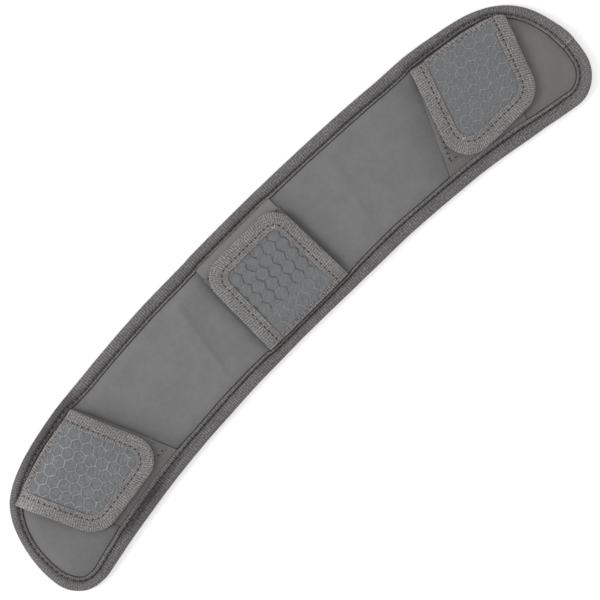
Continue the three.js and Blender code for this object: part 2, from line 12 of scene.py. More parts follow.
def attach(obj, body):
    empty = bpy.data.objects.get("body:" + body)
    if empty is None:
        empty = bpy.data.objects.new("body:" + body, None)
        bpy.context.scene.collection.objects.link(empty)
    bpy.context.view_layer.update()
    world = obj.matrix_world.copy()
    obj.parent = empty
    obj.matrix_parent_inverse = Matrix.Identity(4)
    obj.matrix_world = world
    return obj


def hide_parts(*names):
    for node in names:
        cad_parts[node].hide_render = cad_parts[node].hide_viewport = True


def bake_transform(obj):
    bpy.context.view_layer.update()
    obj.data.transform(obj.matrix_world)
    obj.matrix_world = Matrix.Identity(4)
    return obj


bl_info = {
    "name": "Padded belt cushion",
    "version": (1, 0, 0),
    "blender": (4, 5, 0),
    "location": "3D View > Sidebar > Cushion",
    "description": "Makes a bound belt cushion with three hook-and-loop flaps",
    "category": "Add Mesh",
}

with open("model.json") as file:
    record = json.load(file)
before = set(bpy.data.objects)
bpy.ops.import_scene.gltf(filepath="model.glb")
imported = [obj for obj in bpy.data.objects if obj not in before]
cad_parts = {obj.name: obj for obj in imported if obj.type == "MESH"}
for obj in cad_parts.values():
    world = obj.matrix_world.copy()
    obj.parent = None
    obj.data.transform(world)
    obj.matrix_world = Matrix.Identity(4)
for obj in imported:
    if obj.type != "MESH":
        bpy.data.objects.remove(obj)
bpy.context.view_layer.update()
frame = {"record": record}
MM = 0.001
# Edges sharper than this many degrees aren't smoothed
SHARP_FROM = 50


def linear(code):
    """A colour written as sRGB hex, as Blender's linear red, green and blue."""
    channels = [int(code[k : k + 2], 16) / 255 for k in (1, 3, 5)]
    return [c / 12.92 if c <= 0.04045 else ((c + 0.055) / 1.055) ** 2.4 for c in channels]


def length(name, description, millimetres):
    return FloatProperty(name=name, description=description, default=millimetres * MM, min=0, unit="LENGTH")


def tint(name, description, code):
    return FloatVectorProperty(
        name=name, description=description, default=linear(code), size=3, min=0, max=1, subtype="COLOR"
    )


class CushionSizes(bpy.types.PropertyGroup):
    """Sizes of the cushion and its flaps"""

    pad_width: length("Pad width", "Across the pad, over its binding", 90)
    pad_half_length: length("Pad half length", "From the pad's middle to its end, along the curve", 250.5)
    straight_half_length: length("Straight half length", "Half of the straight middle", 29)
    curve_radius: length("Curve radius", "Bend of the pad's centre line", 973)
    pad_rise: length("Pad rise", "From the frame's origin to the pad's middle", 9.6)
    lead_radius: length("Lead radius", "First arc of each end", 91.5)
    shoulder_radius: length("Shoulder radius", "Second arc of each end", 50)
    heel_radius: length("Heel radius", "Last arc of each end", 25.7)
    bead_height: length("Bead height", "Thickness of the bound edge", 6.8)
    bead_inset: length("Bead inset", "From the edge to the top of the bead", 4.2)
    tape_thickness: length("Tape thickness", "Thickness of the grosgrain", 0.6)
    face_edge: length("Face height at the edge", "Top of the face beside the binding", 5.3)
    face_crown: length("Face height on the crown", "Top of the face in the middle", 7.6)
    crown_start: length("Crown start", "Inset where the face starts to rise", 9.3)
    crown_ramp: length("Crown ramp", "Width of the rise to the crown", 8.3)
    panel_thickness: length("Panel thickness", "Cloth under each flap", 0.6)
    loop_edge_inset: length("Loop edge inset", "From the pad's edge to the loop patch", 17.7)
    loop_root_inset: length("Loop root inset", "From the root's edge to the loop patch", 22.3)
    loop_thickness: length("Loop thickness", "Thickness of the loop patch", 1)
    flap_thickness: length("Flap thickness", "Folded tape with the cloth in it", 2.4)
    flap_tape: length("Flap tape width", "Width of the tape seen on a flap", 11.7)
    flap_stitch_inset: length("Flap stitch inset", "From a flap's edge to its stitches", 7.8)
    hem_width: length("Hem width", "Strip between a flap's hinge and its root seam", 4)
    hook_length: length("Hook length", "Hook patch, towards the root", 25)
    stitch_pitch: length("Edge stitch pitch", "From one stitch of the edge to the next", 4.1)
    flap_stitch_pitch: length("Flap stitch pitch", "From one stitch of a flap to the next", 3.65)
    stitch_length: length("Stitch length", "Seen length of a stitch", 1.6)
    stitch_width: length("Stitch width", "Width of a stitch and its needle hole", 1.05)
    hexagon: length("Hexagon", "Width of a ripstop cell", 7.8)
    dent: length("Dent", "How far the seam of a panel is pulled into the face", 1.1)
    swell: length("Swell", "Most that the face's cloth moves as it settles", 0.6)
    rib: length("Rib", "Spacing of the grosgrain's ribs as drawn", 1.65)


class CushionColours(bpy.types.PropertyGroup):
    """Colours of the cloths, tapes and threads"""

    face: tint("Face", "Smooth face fabric", "#7c7c7c")
    foam_back: tint("Air mesh", "Knitted back", "#3f3f40")
    binding: tint("Binding", "Edge tape", "#737070")
    flap_tape: tint("Flap tape", "Tape round the flaps", "#868483")
    ripstop: tint("Ripstop", "Cloth of the flaps", "#77797a")
    panel: tint("Panel", "Cloth under the flaps", "#807f7e")
    loop: tint("Loop", "Loop patch", "#7a7876")
    hook: tint("Hook", "Hook patch", "#454546")
    # Partly the thread's own colour, partly painted shade of the needle holes that the stitches stand for
    thread: tint("Thread", "Sewing thread", "#2f2d2c")
    hem_thread: tint("Hem thread", "Thread sunk in the root hems", "#5c5957")
    thread_end: tint("Thread end", "Frayed end of a seam", "#b4b2ad")
    floor: tint("Floor", "Studio floor", "#f4f4f4")


def together(*values):
    """Tables of coordinates as one table of points."""
    return np.stack(np.broadcast_arrays(*values), axis=-1)


def between(start, end, count):
    """Evenly spaced points from one to another."""
    return start + (end - start) * np.linspace(0, 1, count)[:, None]


def travelled(points):
    """Distance along a line of points, at each of them."""
    return np.concatenate([[0], np.cumsum(np.linalg.norm(np.diff(points, axis=0), axis=-1))])


def sampled(at, travel, points):
    """Points at distances along a line of points."""
    return together(*(np.interp(at, travel, points[:, k]) for k in range(points.shape[1])))


def in_millimetres():
    """The sizes as plain numbers of millimetres."""
    sizes = bpy.context.scene.cushion_sizes
    return SimpleNamespace(**{name: getattr(sizes, name) / MM for name in CushionSizes.__annotations__})


def colour(name):
    return [*getattr(bpy.context.scene.cushion_colours, name), 1.0]


# Turns of the arcs that shape each end, from the long edge over the nose to the other long edge
END_TURNS = (18.3, 34.0, 37.0, 90.7)

# The bound edge as measured: distance along the edge, how far the edge lies inside the plan, and the
# insets of the stitched groove and of the tape's lip, in millimetres
EDGE_MEASURES = np.array(
    [
        (0, 0.5, 6.2, 8.0), (12, -0.2, 5.5, 7.9), (24, -0.6, 4.9, 7.4), (30, -0.5, 5.0, 7.2),
        (34, -0.4, 6.2, 8.2), (48, -0.1, 7.3, 9.4), (72, -0.1, 7.5, 9.5), (108, -0.1, 7.6, 9.7),
        (132, 0.4, 8.1, 10.2), (145, 0.4, 7.8, 10.0), (150, 0.0, 7.1, 9.1), (168, -0.2, 7.0, 9.3),
        (192, -0.2, 6.8, 9.2), (210, 0.0, 7.0, 9.4), (215, 0.2, 7.8, 10.2), (240, 0.5, 8.4, 10.4),
        (264, 0.5, 8.5, 10.6), (288, 0.2, 8.0, 10.3), (312, 0.0, 8.0, 9.9), (326, -0.9, 7.3, 9.1),
        (334, -1.4, 5.8, 7.5), (348, -1.3, 5.6, 7.3), (360, -0.8, 5.7, 7.5), (371, -0.4, 5.2, 7.1),
        (383, -0.5, 5.0, 7.0), (394, -0.3, 4.6, 6.0), (400, 0.0, 5.2, 7.0), (406, 0.2, 6.2, 8.4),
        (418, 0.6, 7.3, 9.4), (430, 1.2, 7.9, 10.4), (442, 1.7, 8.5, 11.2), (454, 1.4, 8.8, 11.7),
        (466, 1.8, 9.5, 11.8), (478, 1.3, 9.5, 11.9), (490, 0.7, 9.1, 11.3), (502, -0.1, 8.4, 10.3),
        (526, -0.6, 7.6, 10.0), (538, -0.4, 7.6, 9.9), (550, -0.6, 8.3, 11.0), (574, 0.1, 8.7, 11.8),
        (592, 0.3, 8.8, 11.6), (610, 0.0, 8.5, 11.1), (634, -0.1, 8.4, 10.5), (658, -0.1, 8.5, 10.9),
        (682, -0.7, 7.9, 10.1), (696, -0.6, 7.6, 9.6), (706, -0.6, 6.9, 8.5), (730, 0.0, 6.9, 8.6),
        (754, 0.3, 6.9, 8.6), (773, 0.0, 7.0, 8.7), (779, 0.0, 8.0, 10.2), (796, 0.2, 8.6, 10.8),
        (826, 0.0, 8.5, 11.1), (850, 0.4, 8.7, 11.0), (862, 0.4, 9.1, 11.8), (882, 0.5, 9.1, 12.0),
        (898, 0.4, 8.9, 12.1), (910, 0.2, 8.8, 11.8), (934, 0.2, 8.5, 11.1), (946, 0.0, 7.7, 10.4),
        (958, -0.1, 7.1, 9.9), (969, -0.2, 6.5, 9.0), (981, -1.6, 5.4, 7.5), (993, -1.4, 6.1, 8.4),
        (1005, -0.4, 6.5, 8.5), (1017, 0.5, 6.9, 8.9), (1029, 1.1, 6.4, 8.6), (1041, 1.0, 6.6, 8.6),
        (1064, 0.1, 6.6, 8.5), (1076, 0.6, 6.7, 8.4), (1088, 0.9, 6.8, 8.5), (1100, 0.9, 6.5, 8.3),
    ]
)
# How far the binding is pressed into a narrow roll by the layers sewn under it, which also deepens the painted
# shade on its inner slope; how much painted shade the stitched groove beside it and the gap at its lip get, with
# a painted highlight on the lip's crest; and the tape's painted light and shade there: distance, and three
# shares
EDGE_PRESS = np.array(
    [
        (0, 0.8, 0.0, 0.62), (22, 0.8, 0.05, 0.64), (33, 0.5, 0.2, 0.64), (42, 0.15, 0.9, 1.0),
        (140, 0.1, 0.9, 1.0), (155, 0.25, 1.0, 1.0), (205, 0.25, 1.0, 1.0), (220, 0.1, 1.0, 1.03),
        (318, 0.1, 1.0, 1.03), (334, 0.8, 0.9, 1.0), (352, 0.85, 0.7, 1.0), (366, 0.9, 0.45, 0.98),
        (396, 1.0, 0.4, 1.0), (412, 0.4, 0.6, 1.1), (440, 0.1, 0.6, 1.2), (495, 0.2, 0.8, 1.2),
        (520, 0.5, 1.0, 1.04), (560, 0.45, 1.0, 1.04), (600, 0.3, 1.0, 1.04), (640, 0.2, 1.0, 1.04),
        (690, 0.2, 1.0, 1.04), (705, 0.4, 1.0, 1.04), (765, 0.4, 1.0, 1.04),
        (790, 0.15, 1.0, 1.02), (855, 0.2, 1.0, 1.0), (872, 1.0, 0.9, 0.96),
        (900, 1.7, 0.9, 0.9), (925, 1.6, 0.9, 0.92), (945, 0.4, 1.0, 1.0), (975, 0.3, 0.9, 1.0),
        (1000, 0.3, 0.35, 1.0), (1040, 0.4, 0.35, 0.98), (1060, 0.8, 0.4, 0.98), (1080, 0.85, 0.25, 0.88),
        (1094, 0.8, 0.1, 0.72), (1100, 0.8, 0.0, 0.64),
    ]
)
# Where the tape's ends lap, along the edge
TAPE_LAP = (444.0, 459.0)
# The soft folds across the face: place along the centre line, and height; they lean, rise over a long
# reach and fall over a short one, and painted shade darkens the cloth past the crest
FACE_FOLDS = ((-66.0, 0.85), (71.5, 0.35))
FOLD_LEAN, FOLD_RISE, FOLD_FALL, FOLD_LOSS, FOLD_SHADE_REACH = 0.19, 8.0, 3.4, 0.12, 6.0
# How deep the face tucks into the binding at the very edge
FACE_TUCK = 0.9

# Where each flap is sewn, as measured on the flat pattern, in millimetres: along the centre line, across.
# Then how its hexagons lie and show, with painted light and shade on their yarn, the bulge of its root seam
# along the hinge, by how much the tape of each side shows narrower past the stitches, how far the loop
# patch and its seams reach across the panel, and tones: of the hem, the painted shadow of the flap on the
# panel beyond the free edge, the gain and reach of the shine at the tape's ends, and the loss and reach of
# the painted shade on the face beside each side of the panel
STATIONS = {
    "left": SimpleNamespace(
        side=1, hinge=((-152.1, 34.2), (-221.5, 26.3)), free=((-133.5, -28.6), (-207.9, -28.4)),
        radii=(16.5, 19.5), panel_root=(-155.1, -216.0), panel_landing=(-127.2, -191.5),
        hexagon_turn=-2.0, cell=1.0, cloth_tone=1.0, yarn=(0.415, 0.468), straight=0.9, ring=0.13,
        light_lines=(1.6, 1.2), crumple=1.0,
        root_line=((-36, 0.4), (-31, 0.2), (-21, -0.5), (-7, -2.0), (10, -2.1), (24, -1.2), (36, -0.4)),
        narrow=(1.2, 0.9, 0.8), hem_tone=1.06, landing_shadow=0.68, tack=None, shine=(0, 30),
        loop_across=(0.02, 0.97), seam_across=(0.16, 0.9), face_shade_beside=((0.42, 4.2), (0.42, 10)),
    ),
    "middle": SimpleNamespace(
        side=-1, hinge=((-38.8, -31.0), (32.3, -31.0)), free=((-37.6, 30.8), (30.5, 30.8)),
        radii=(15.5, 15.0), panel_root=(-36.3, 29.9), panel_landing=(-36.3, 29.9),
        hexagon_turn=90.0, cell=1.12, cloth_tone=1.0, yarn=(0.425, 0.475), straight=0.3, ring=0,
        light_lines=(0.9, -0.65), crumple=0.7,
        root_line=((-40, -0.6), (40, -0.8)), narrow=(0, 0, 0.9), hem_tone=0.94, landing_shadow=1.0,
        tack=(19.4, 28.9), shine=(0, 0),
        loop_across=(-0.018, 1.015), seam_across=(0.05, 0.95), face_shade_beside=((0.53, 4), (0.43, 8.2)),
    ),
    "right": SimpleNamespace(
        side=1, hinge=((217.7, 28.0), (148.2, 32.9)), free=((208.6, -26.4), (132.7, -36.0)),
        radii=(19.5, 18.2), panel_root=(214.0, 154.5), panel_landing=(188.0, 123.1),
        hexagon_turn=-9.0, cell=1.0, cloth_tone=0.975, yarn=(0.415, 0.468), straight=0.5, ring=0.13,
        light_lines=(1.0, 0.9), crumple=0.7,
        root_line=(
            (-37, 4.0), (-36, 2.5), (-35, 1.4), (-33.5, 0.2), (-31.5, -0.8), (-28, -1.5), (-22, -1.9),
            (-14, -2.3), (-6, -2.4), (4, -1.9), (14, -1.1), (24, -0.1), (36, 0.4),
        ),
        narrow=(0.9, 0.4, 0.7), hem_tone=1.04, landing_shadow=0.7, tack=(146.7, -17.2), shine=(0, 0),
        loop_across=(0.03, 0.985), seam_across=(0.1, 0.945), face_shade_beside=((0.25, 18), (0.28, 10)),
    ),
}


class PadPlan:
    """The pad's plan on its flat pattern, and how it bends and rises, in millimetres."""

    def __init__(self, step=0.8):
        self.size = in_millimetres()
        self.u, self.w, self.turn, self.along = self.trace(step)
        self.shift, self.groove, self.lip, self.press, self.dark, self.light = (
            np.interp(self.along, table[:, 0], table[:, k], period=self.along[-1] + step)
            for table in (EDGE_MEASURES, EDGE_PRESS)
            for k in (1, 2, 3)
        )

    def trace(self, step):
        """The edge, from the start of the straight convex side round the right end and the left end."""
        size = self.size
        turns = np.radians(np.cumsum([0.0, *END_TURNS]))
        drops = [math.cos(turns[k]) - math.cos(turns[k + 1]) for k in range(4)]
        radii = [size.lead_radius, size.shoulder_radius, 0.0, size.heel_radius]
        radii[2] = (size.pad_width - sum(r * d for r, d in zip(radii, drops))) / drops[2]
        right = np.array([(0.0, size.pad_width / 2, 0.0)])
        for radius, start, end in zip(radii, turns, turns[1:]):
            u, w, _ = right[-1]
            turn = np.linspace(start, end, 60)[1:]
            across, down = np.sin(turn) - math.sin(start), math.cos(start) - np.cos(turn)
            right = np.vstack([right, together(u + radius * across, w - radius * down, turn)])
        right[:, 0] += size.pad_half_length - right[:, 0].max()
        left = right[::-1] * (-1, 1, -1) + (0, 0, 2 * math.pi)
        line = np.vstack([right, left, right[:1] + (0, 0, 2 * math.pi)])
        line = np.vstack([[left[-1, 0], left[-1, 1], 0.0], line[:-1]])
        travel = travelled(line[:, :2])
        count = round(travel[-1] / step)
        along = np.arange(count) * travel[-1] / count
        return (*sampled(along, travel, line).T, along)

    def at_inset(self, inset, index=slice(None)):
        """Pattern points at a distance in from the edge."""
        return (
            self.u[index] - np.sin(self.turn[index]) * inset,
            self.w[index] - np.cos(self.turn[index]) * inset,
        )

    def bend(self, u, w):
        """Pattern points in the frame's plan."""
        size = self.size
        angle = np.maximum(np.abs(u) - size.straight_half_length, 0) / size.curve_radius
        reach = size.curve_radius + w
        x = np.where(angle > 0, np.sign(u) * (size.straight_half_length + reach * np.sin(angle)), u)
        return x, reach * np.cos(angle) - size.curve_radius + size.pad_rise

    def nearest(self, u, w):
        """Distance in from the edge, less than zero outside it, and the nearest place on the edge."""
        flat_u, flat_w = np.ravel(u), np.ravel(w)
        inset, index = np.empty(flat_u.size), np.empty(flat_u.size, int)
        for start in range(0, flat_u.size, 2000):
            part = slice(start, start + 2000)
            gap = np.hypot(flat_u[part, None] - self.u, flat_w[part, None] - self.w)
            index[part] = near = gap.argmin(axis=1)
            within = (self.u[near] - flat_u[part]) * np.sin(self.turn[near])
            within += (self.w[near] - flat_w[part]) * np.cos(self.turn[near])
            inset[part] = np.copysign(gap.min(axis=1), within)
        return inset.reshape(np.shape(u)), index.reshape(np.shape(u))

    def face(self, inset):
        """Height of the face: it tucks into the binding at the edge and rises to the crown."""
        size = self.size
        share = np.clip((inset - size.crown_start) / size.crown_ramp, 0, 1)
        tuck = np.clip((size.crown_start - inset) / size.crown_start, 0, 1)
        rise = (size.face_crown - size.face_edge) * np.sin(share * math.pi / 2)
        return size.face_edge + rise - FACE_TUCK * tuck


def beside_panels(plan, u, w):
    """Distances from the nearest side of the panels, outside and inside, and the painted shade on the cloth
    there.
    """
    half = plan.size.pad_width / 2
    outside, inside = np.full(np.shape(u), 1e3), np.zeros(np.shape(u))
    tone = np.ones(np.shape(u))
    for station in STATIONS.values():
        share = (half - w * station.side) / (2 * half)
        roots, landings = station.panel_root, station.panel_landing
        sides = [root + (landing - root) * share for root, landing in zip(roots, landings)]
        low, high = np.minimum(*sides), np.maximum(*sides)
        gap = np.maximum(low - u, u - high)
        outside, inside = np.minimum(outside, np.maximum(gap, 0)), np.maximum(inside, -gap)
        # Painted shade on the face beside each side of the panel
        for away, (loss, reach) in zip((low - u, u - high), station.face_shade_beside):
            tone = tone * (1 - loss * np.exp(-((np.maximum(away, 0) / reach) ** 1.1)) * (away > -2))
    return outside, inside, tone


def under_lip(plan):
    """From 0 to 1 along the pad's edge: where a panel or a flap's root runs in under the binding."""
    under = np.zeros_like(plan.u)
    for station in STATIONS.values():
        root = [*station.panel_root, *(u for u, _ in station.hinge)]
        for side, ends in ((station.side, root), (-station.side, station.panel_landing)):
            beyond = np.maximum(min(ends) - plan.u, plan.u - max(ends))
            under = np.maximum(under, (plan.w * side > 0) * smooth(1 - beyond / 1.5))
    return under


def dented(plan, u, w, inset):
    """Height of the face with the shallow hollows that the seams of the panels pull into it."""
    outside, inside, _ = beside_panels(plan, u, w)
    hollow = np.exp(-((outside / 8.0) ** 1.3) - (inside / 11.0) ** 2)
    return plan.face(inset) - plan.size.dent * hollow * smooth((inset - 9) / 9)


def tube_pattern(points, travel):
    """The cloth's pattern on a tube: along it, and round its section."""
    around = np.linalg.norm(np.diff(points, axis=0), axis=2).mean(axis=1)
    return np.stack(np.meshgrid(travel, np.concatenate([[0], np.cumsum(around)])), axis=-1)


def grid_lengths(table):
    """Width, length and area of a table of points."""
    rows = np.linalg.norm(np.diff(table, axis=1), axis=2).sum(axis=1)
    columns = np.linalg.norm(np.diff(table, axis=0), axis=2).sum(axis=0)
    a, b = table[1:, 1:] - table[:-1, :-1], table[1:, :-1] - table[:-1, 1:]
    return rows.max(), columns.max(), 0.5 * np.linalg.norm(np.cross(a, b), axis=2).sum()


def table_grid(rows, columns):
    """A flat grid whose points know their row and column."""
    form = bmesh.new()
    bmesh.ops.create_grid(form, x_segments=columns - 1, y_segments=rows - 1, size=0.5)
    row = form.verts.layers.int.new("row")
    column = form.verts.layers.int.new("column")
    for vert in form.verts:
        vert[row] = round((vert.co.y + 0.5) * (rows - 1))
        vert[column] = round((vert.co.x + 0.5) * (columns - 1))
    return form, row, column


def lay_pattern(form, row, column, pattern):
    """UVs in millimetres of cloth, from a table of pattern places."""
    layer = form.loops.layers.uv.new("cloth")
    for face in form.faces:
        for loop in face.loops:
            loop[layer].uv = pattern[loop.vert[row], loop.vert[column]]


def paint(form, row, column, paints):
    """Point values, such as a tone, from tables."""
    for name, table in (paints or {}).items():
        layer = form.verts.layers.float.new(name)
        for vert in form.verts:
            vert[layer] = float(table[vert[row], vert[column]])


def swept(points, pattern, ring=False, paints=None):
    """A tube: the table's rows go round its section and its columns along it."""
    close = lambda table: np.concatenate([table, table[:1]], axis=0)
    points, pattern = close(points), np.concatenate([pattern, pattern[-1:] + (0, 1.0)], axis=0)
    paints = {name: close(table) for name, table in (paints or {}).items()}
    if ring:
        lap = lambda table: np.concatenate([table, table[:, :1]], axis=1)
        step = pattern[:, -1:] - pattern[:, -2:-1]
        points, pattern = lap(points), np.concatenate([pattern, pattern[:, -1:] + step], axis=1)
        paints = {name: lap(table) for name, table in paints.items()}
    form, row, column = table_grid(*points.shape[:2])
    lay_pattern(form, row, column, pattern)
    paint(form, row, column, paints)
    for vert in form.verts:
        vert.co = points[vert[row], vert[column]] * MM
    bmesh.ops.remove_doubles(form, verts=form.verts, dist=1e-7)
    if not ring:
        bmesh.ops.holes_fill(form, edges=[edge for edge in form.edges if edge.is_boundary])
    bmesh.ops.recalc_face_normals(form, faces=form.faces)
    return form


def layered(bottom, top, pattern, paints=None):
    """A closed cloth or cushion between two tables of points."""
    form, row, column = table_grid(*top.shape[:2])
    lay_pattern(form, row, column, pattern)
    paint(form, row, column, {"shade": np.ones(top.shape[:2]), **(paints or {})})
    grown = bmesh.ops.extrude_face_region(form, geom=form.faces[:], use_keep_orig=True)["geom"]
    upper = {item for item in grown if isinstance(item, bmesh.types.BMVert)}
    for vert in form.verts:
        table = top if vert in upper else bottom
        vert.co = table[vert[row], vert[column]] * MM
    bmesh.ops.recalc_face_normals(form, faces=form.faces)
    return form


def finished(form, name, slot, nodes, body=None, blend=None, finish=None):
    """A piece from a form, with its slot's finish, hiding the CAD nodes that it stands for, and parented to the
    body it moves with; a piece with a blend is only fixed in place.
    """
    mesh = bpy.data.meshes.new(name)
    form.to_mesh(mesh)
    form.free()
    mesh.shade_smooth()
    mesh.set_sharp_from_angle(angle=math.radians(SHARP_FROM))
    mesh.materials.append(finish or finish_of(slot))
    made = bpy.data.objects.new(name, mesh)
    bpy.context.collection.objects.link(made)
    if nodes:
        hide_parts(*nodes)
    if blend:
        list(blend[:2])
        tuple(blend[2])
        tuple(blend[3])
        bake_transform(made)
    else:
        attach(made, body)
    return made


def cloth(low, high, pattern, *piece, held="laid", rests_on, paints=None, **ways):
    """A closed piece of cloth between two tables of points; its flat size is worked out and not used, and what
    it lies on (rests_on) is not used.
    """
    made = finished(layered(low, high, pattern, paints), *piece, **ways)
    width, long, area = grid_lengths(low)
    area = min(area, 0.999 * width * long)
    return made


def flaps():
    """The plan of each flap."""
    plan = PadPlan()
    return [FlapPlan(name, plan) for name in STATIONS]


def smooth(x):
    x = np.clip(x, 0, 1)
    return x * x * (3 - 2 * x)


class FlapPlan:
    """One flap in its own frame: x along the hinge, y towards the free edge, in millimetres."""

    def __init__(self, name, plan):
        self.name, self.plan, self.size = name, plan, plan.size
        self.station = STATIONS[name]
        places = (self.station.hinge, self.station.free)
        ends, corners = (together(*plan.bend(*np.transpose(pair))) for pair in places)
        self.middle = ends.mean(axis=0)
        self.ex = (ends[1] - ends[0]) / np.linalg.norm(ends[1] - ends[0])
        self.ey = np.array([-self.ex[1], self.ex[0]])
        self.root, self.free = self.local(ends), self.local(corners)

    def local(self, points):
        offset = points - self.middle
        return together(offset @ self.ex, offset @ self.ey)

    def place(self, x, y):
        return [self.middle[k] + x * self.ex[k] + y * self.ey[k] for k in (0, 1)]

    def pattern(self, table):
        """A table of flap points on the frame's plan, which is the cloth's pattern."""
        return together(*self.place(table[..., 0], table[..., 1]))

    def root_line(self, x):
        """The root seam, which follows the binding where the pad's edge is curved."""
        line = np.array(self.station.root_line)
        return -self.size.hem_width + np.interp(x, line[:, 0], line[:, 1])

    def sides(self, inset):
        """The flap's three free sides, moved in by a distance, each as a point and a direction.

        Past the stitches the distance shrinks where the tape shows narrower.
        """
        root, free, size = self.root, self.free, self.size
        past = np.clip((inset - size.flap_stitch_inset) / (size.flap_tape - size.flap_stitch_inset), 0, 1.1)
        lines = []
        for start, end, narrow in zip((root[0], *free), (*free, root[1]), self.station.narrow):
            along = (end - start) / np.linalg.norm(end - start)
            inward = np.array([along[1], -along[0]])
            lines.append((start + inward * (inset - narrow * past), along))
        return lines

    def corner(self, one, other):
        across = lambda a, b: a[0] * b[1] - a[1] * b[0]
        share = across(other[0] - one[0], other[1]) / across(one[1], other[1])
        return one[0] + one[1] * share

    def contour(self, inset, counts=(46, 16, 40)):
        """Points along the tape at an inset: up a side, round both corners, and down the other side."""
        first, free, last = self.sides(inset)
        turns = []
        for before, after, radius in zip((first, free), (free, last), self.station.radii):
            radius, ahead = max(radius - 0.8 * inset, 3.5), before[1]
            bend = math.acos(np.clip(np.dot(ahead, after[1]), -1, 1))
            start = self.corner(before, after) - ahead * radius * math.tan(bend / 2)
            inward = np.array([ahead[1], -ahead[0]])
            angles = np.linspace(0, bend, counts[1])[:, None]
            turns.append(start + radius * (ahead * np.sin(angles) + inward * (1 - np.cos(angles))))
        up = between(self.crossing_root(first), turns[0][0], counts[0])
        head = between(turns[0][-1], turns[1][0], counts[2])
        down = between(turns[1][-1], self.crossing_root(last), counts[0])
        return np.vstack([up[:-1], turns[0], head[1:-1], turns[1], down[1:]])

    def crossing_root(self, line):
        """Where a side's line meets the root seam."""
        point, along = line
        for _ in range(4):
            point = point + along * (self.root_line(point[0]) - point[1]) / along[1]
        return point

    def underside(self, x, y):
        """Height of the tape's underside: it climbs from the root and droops a little at its rim."""
        rise = 7.1 + 1.4 * smooth((y + 4) / 4.5) + 1.4 * smooth((y - 0.3) / 9)
        rim = self.rim(x, y)
        droop = 0.55 * np.exp(-rim / 4.0) * smooth((y - 6) / 14)
        roll = 0.12 * np.sin(x / 9.1 + 0.7) * np.sin(y / 11.3 + 1.1)
        return rise - droop + roll * smooth(y / 12)

    def thickness(self, y):
        full = self.size.flap_thickness
        return full * (0.52 + 0.48 * smooth((y + 4.5) / 9))

    def rim(self, x, y):
        """Distance in from the nearest free side."""
        gaps = [(x - point[0]) * along[1] - (y - point[1]) * along[0] for point, along in self.sides(0)]
        return np.maximum(np.minimum.reduce(gaps), 0)

    def window(self, rows, columns, inset, root_gap=0.0, far=None):
        """A table of points inside the flap's tape, from the root to the free side."""
        first, free, last = self.sides(inset)
        head = between(self.corner(first, free), self.corner(free, last), columns)
        foot = between(self.crossing_root(first), self.crossing_root(last), columns)
        foot[:, 1] = self.root_line(foot[:, 0]) + root_gap
        depth = np.linspace(0, 1, rows)[:, None, None]
        if far is not None:
            span = np.linalg.norm(head - foot, axis=1)[:, None]
            foot = head + (foot - head) * np.minimum(far / span, 1)
        return foot + (head - foot) * depth

    def surface(self, table, level, lift=0.0):
        """A table of flap points at a share of the tape's thickness, with a lift in millimetres."""
        x, y = table[..., 0], table[..., 1]
        return together(*self.place(x, y), self.underside(x, y) + self.thickness(y) * level + lift)

    def hinge_blend(self, first=-0.8, last=4.0):
        """The pad, the flap, and the two ends of the cloth between the root hem and the flap, about the hinge.
        """
        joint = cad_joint(self.name)
        start, end = (Vector((*self.place(0, y), joint)) * MM for y in (first, last))
        return "pad", f"flap_{self.name}", start, end


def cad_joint(name):
    """Height of a flap's hinge in millimetres, from the record."""
    joints = frame["record"]["behaviour"]["joints"]
    return next(j["pos_m"][2] for j in joints if j["name"] == f"flap_{name}_hinge") / MM


# Materials

# Nodes that repeat: Blender's name, the settings, and the inputs in the order of the values
NODES = {
    "range": (
        "MapRange", {"interpolation_type": "SMOOTHSTEP"}, ("Value", "From Min", "From Max", "To Min", "To Max")
    ),
    "noise": ("TexNoise", {}, ("Vector", "Scale", "Detail", "Roughness")),
    "wave": ("TexWave", {}, ("Vector", "Scale", "Distortion", "Detail", "Detail Scale")),
    "cells": ("TexVoronoi", {"feature": "F1"}, ("Vector", "Scale", "Randomness")),
    "bump": ("Bump", {}, ("Height", "Distance")),
    **{
        kind: ("Math", {"operation": kind}, range(3))
        for kind in ("ADD", "SUBTRACT", "MULTIPLY", "MULTIPLY_ADD", "MAXIMUM", "LESS_THAN")
    },
}
INPUTS_IN_ORDER = range(8)
# Blender's wave texture repeats every pi / 10 units at a scale of one
WAVE_SCALE = math.pi / 10


def adder(tree):
    """The helper that adds a node to a tree, with values and links in order or by name, and settings."""

    def add(kind, *values, out=0, **settings):
        kind, preset, order = NODES.get(kind, (kind, {}, INPUTS_IN_ORDER))
        made = tree.nodes.new(f"ShaderNode{kind}")
        for key, value in {**preset, **settings}.items():
            setattr(made, key, value)
        for key, given in zip(order, values):
            for name, value in (given if isinstance(given, dict) else {key: given}).items():
                if isinstance(value, bpy.types.NodeSocket):
                    tree.links.new(value, made.inputs[name])
                else:
                    made.inputs[name].default_value = value
        return made.outputs[out] if made.outputs else made

    return add


def new_finish(name):
    """A material and the helper that adds its nodes."""
    finish = bpy.data.materials.new(name)
    finish.use_nodes = True
    finish.node_tree.nodes.clear()
    return finish, adder(finish.node_tree)


def cloth_place(add, scale=(1, 1, 1), turn=0.0):
    """Place on the cloth in millimetres, turned and scaled."""
    place = add("UVMap", uv_map="cloth")
    inputs = {"Vector": place, "Rotation": (0, 0, math.radians(turn)), "Scale": scale}
    return add("Mapping", inputs, vector_type="TEXTURE" if turn else "POINT")


def product(add, value, *factors):
    """Several values multiplied."""
    for factor in factors:
        value = add("MULTIPLY", value, factor)
    return value


def painted(add, name):
    """A value that is painted on the piece's points."""
    return add("Attribute", attribute_name=name, out="Fac")


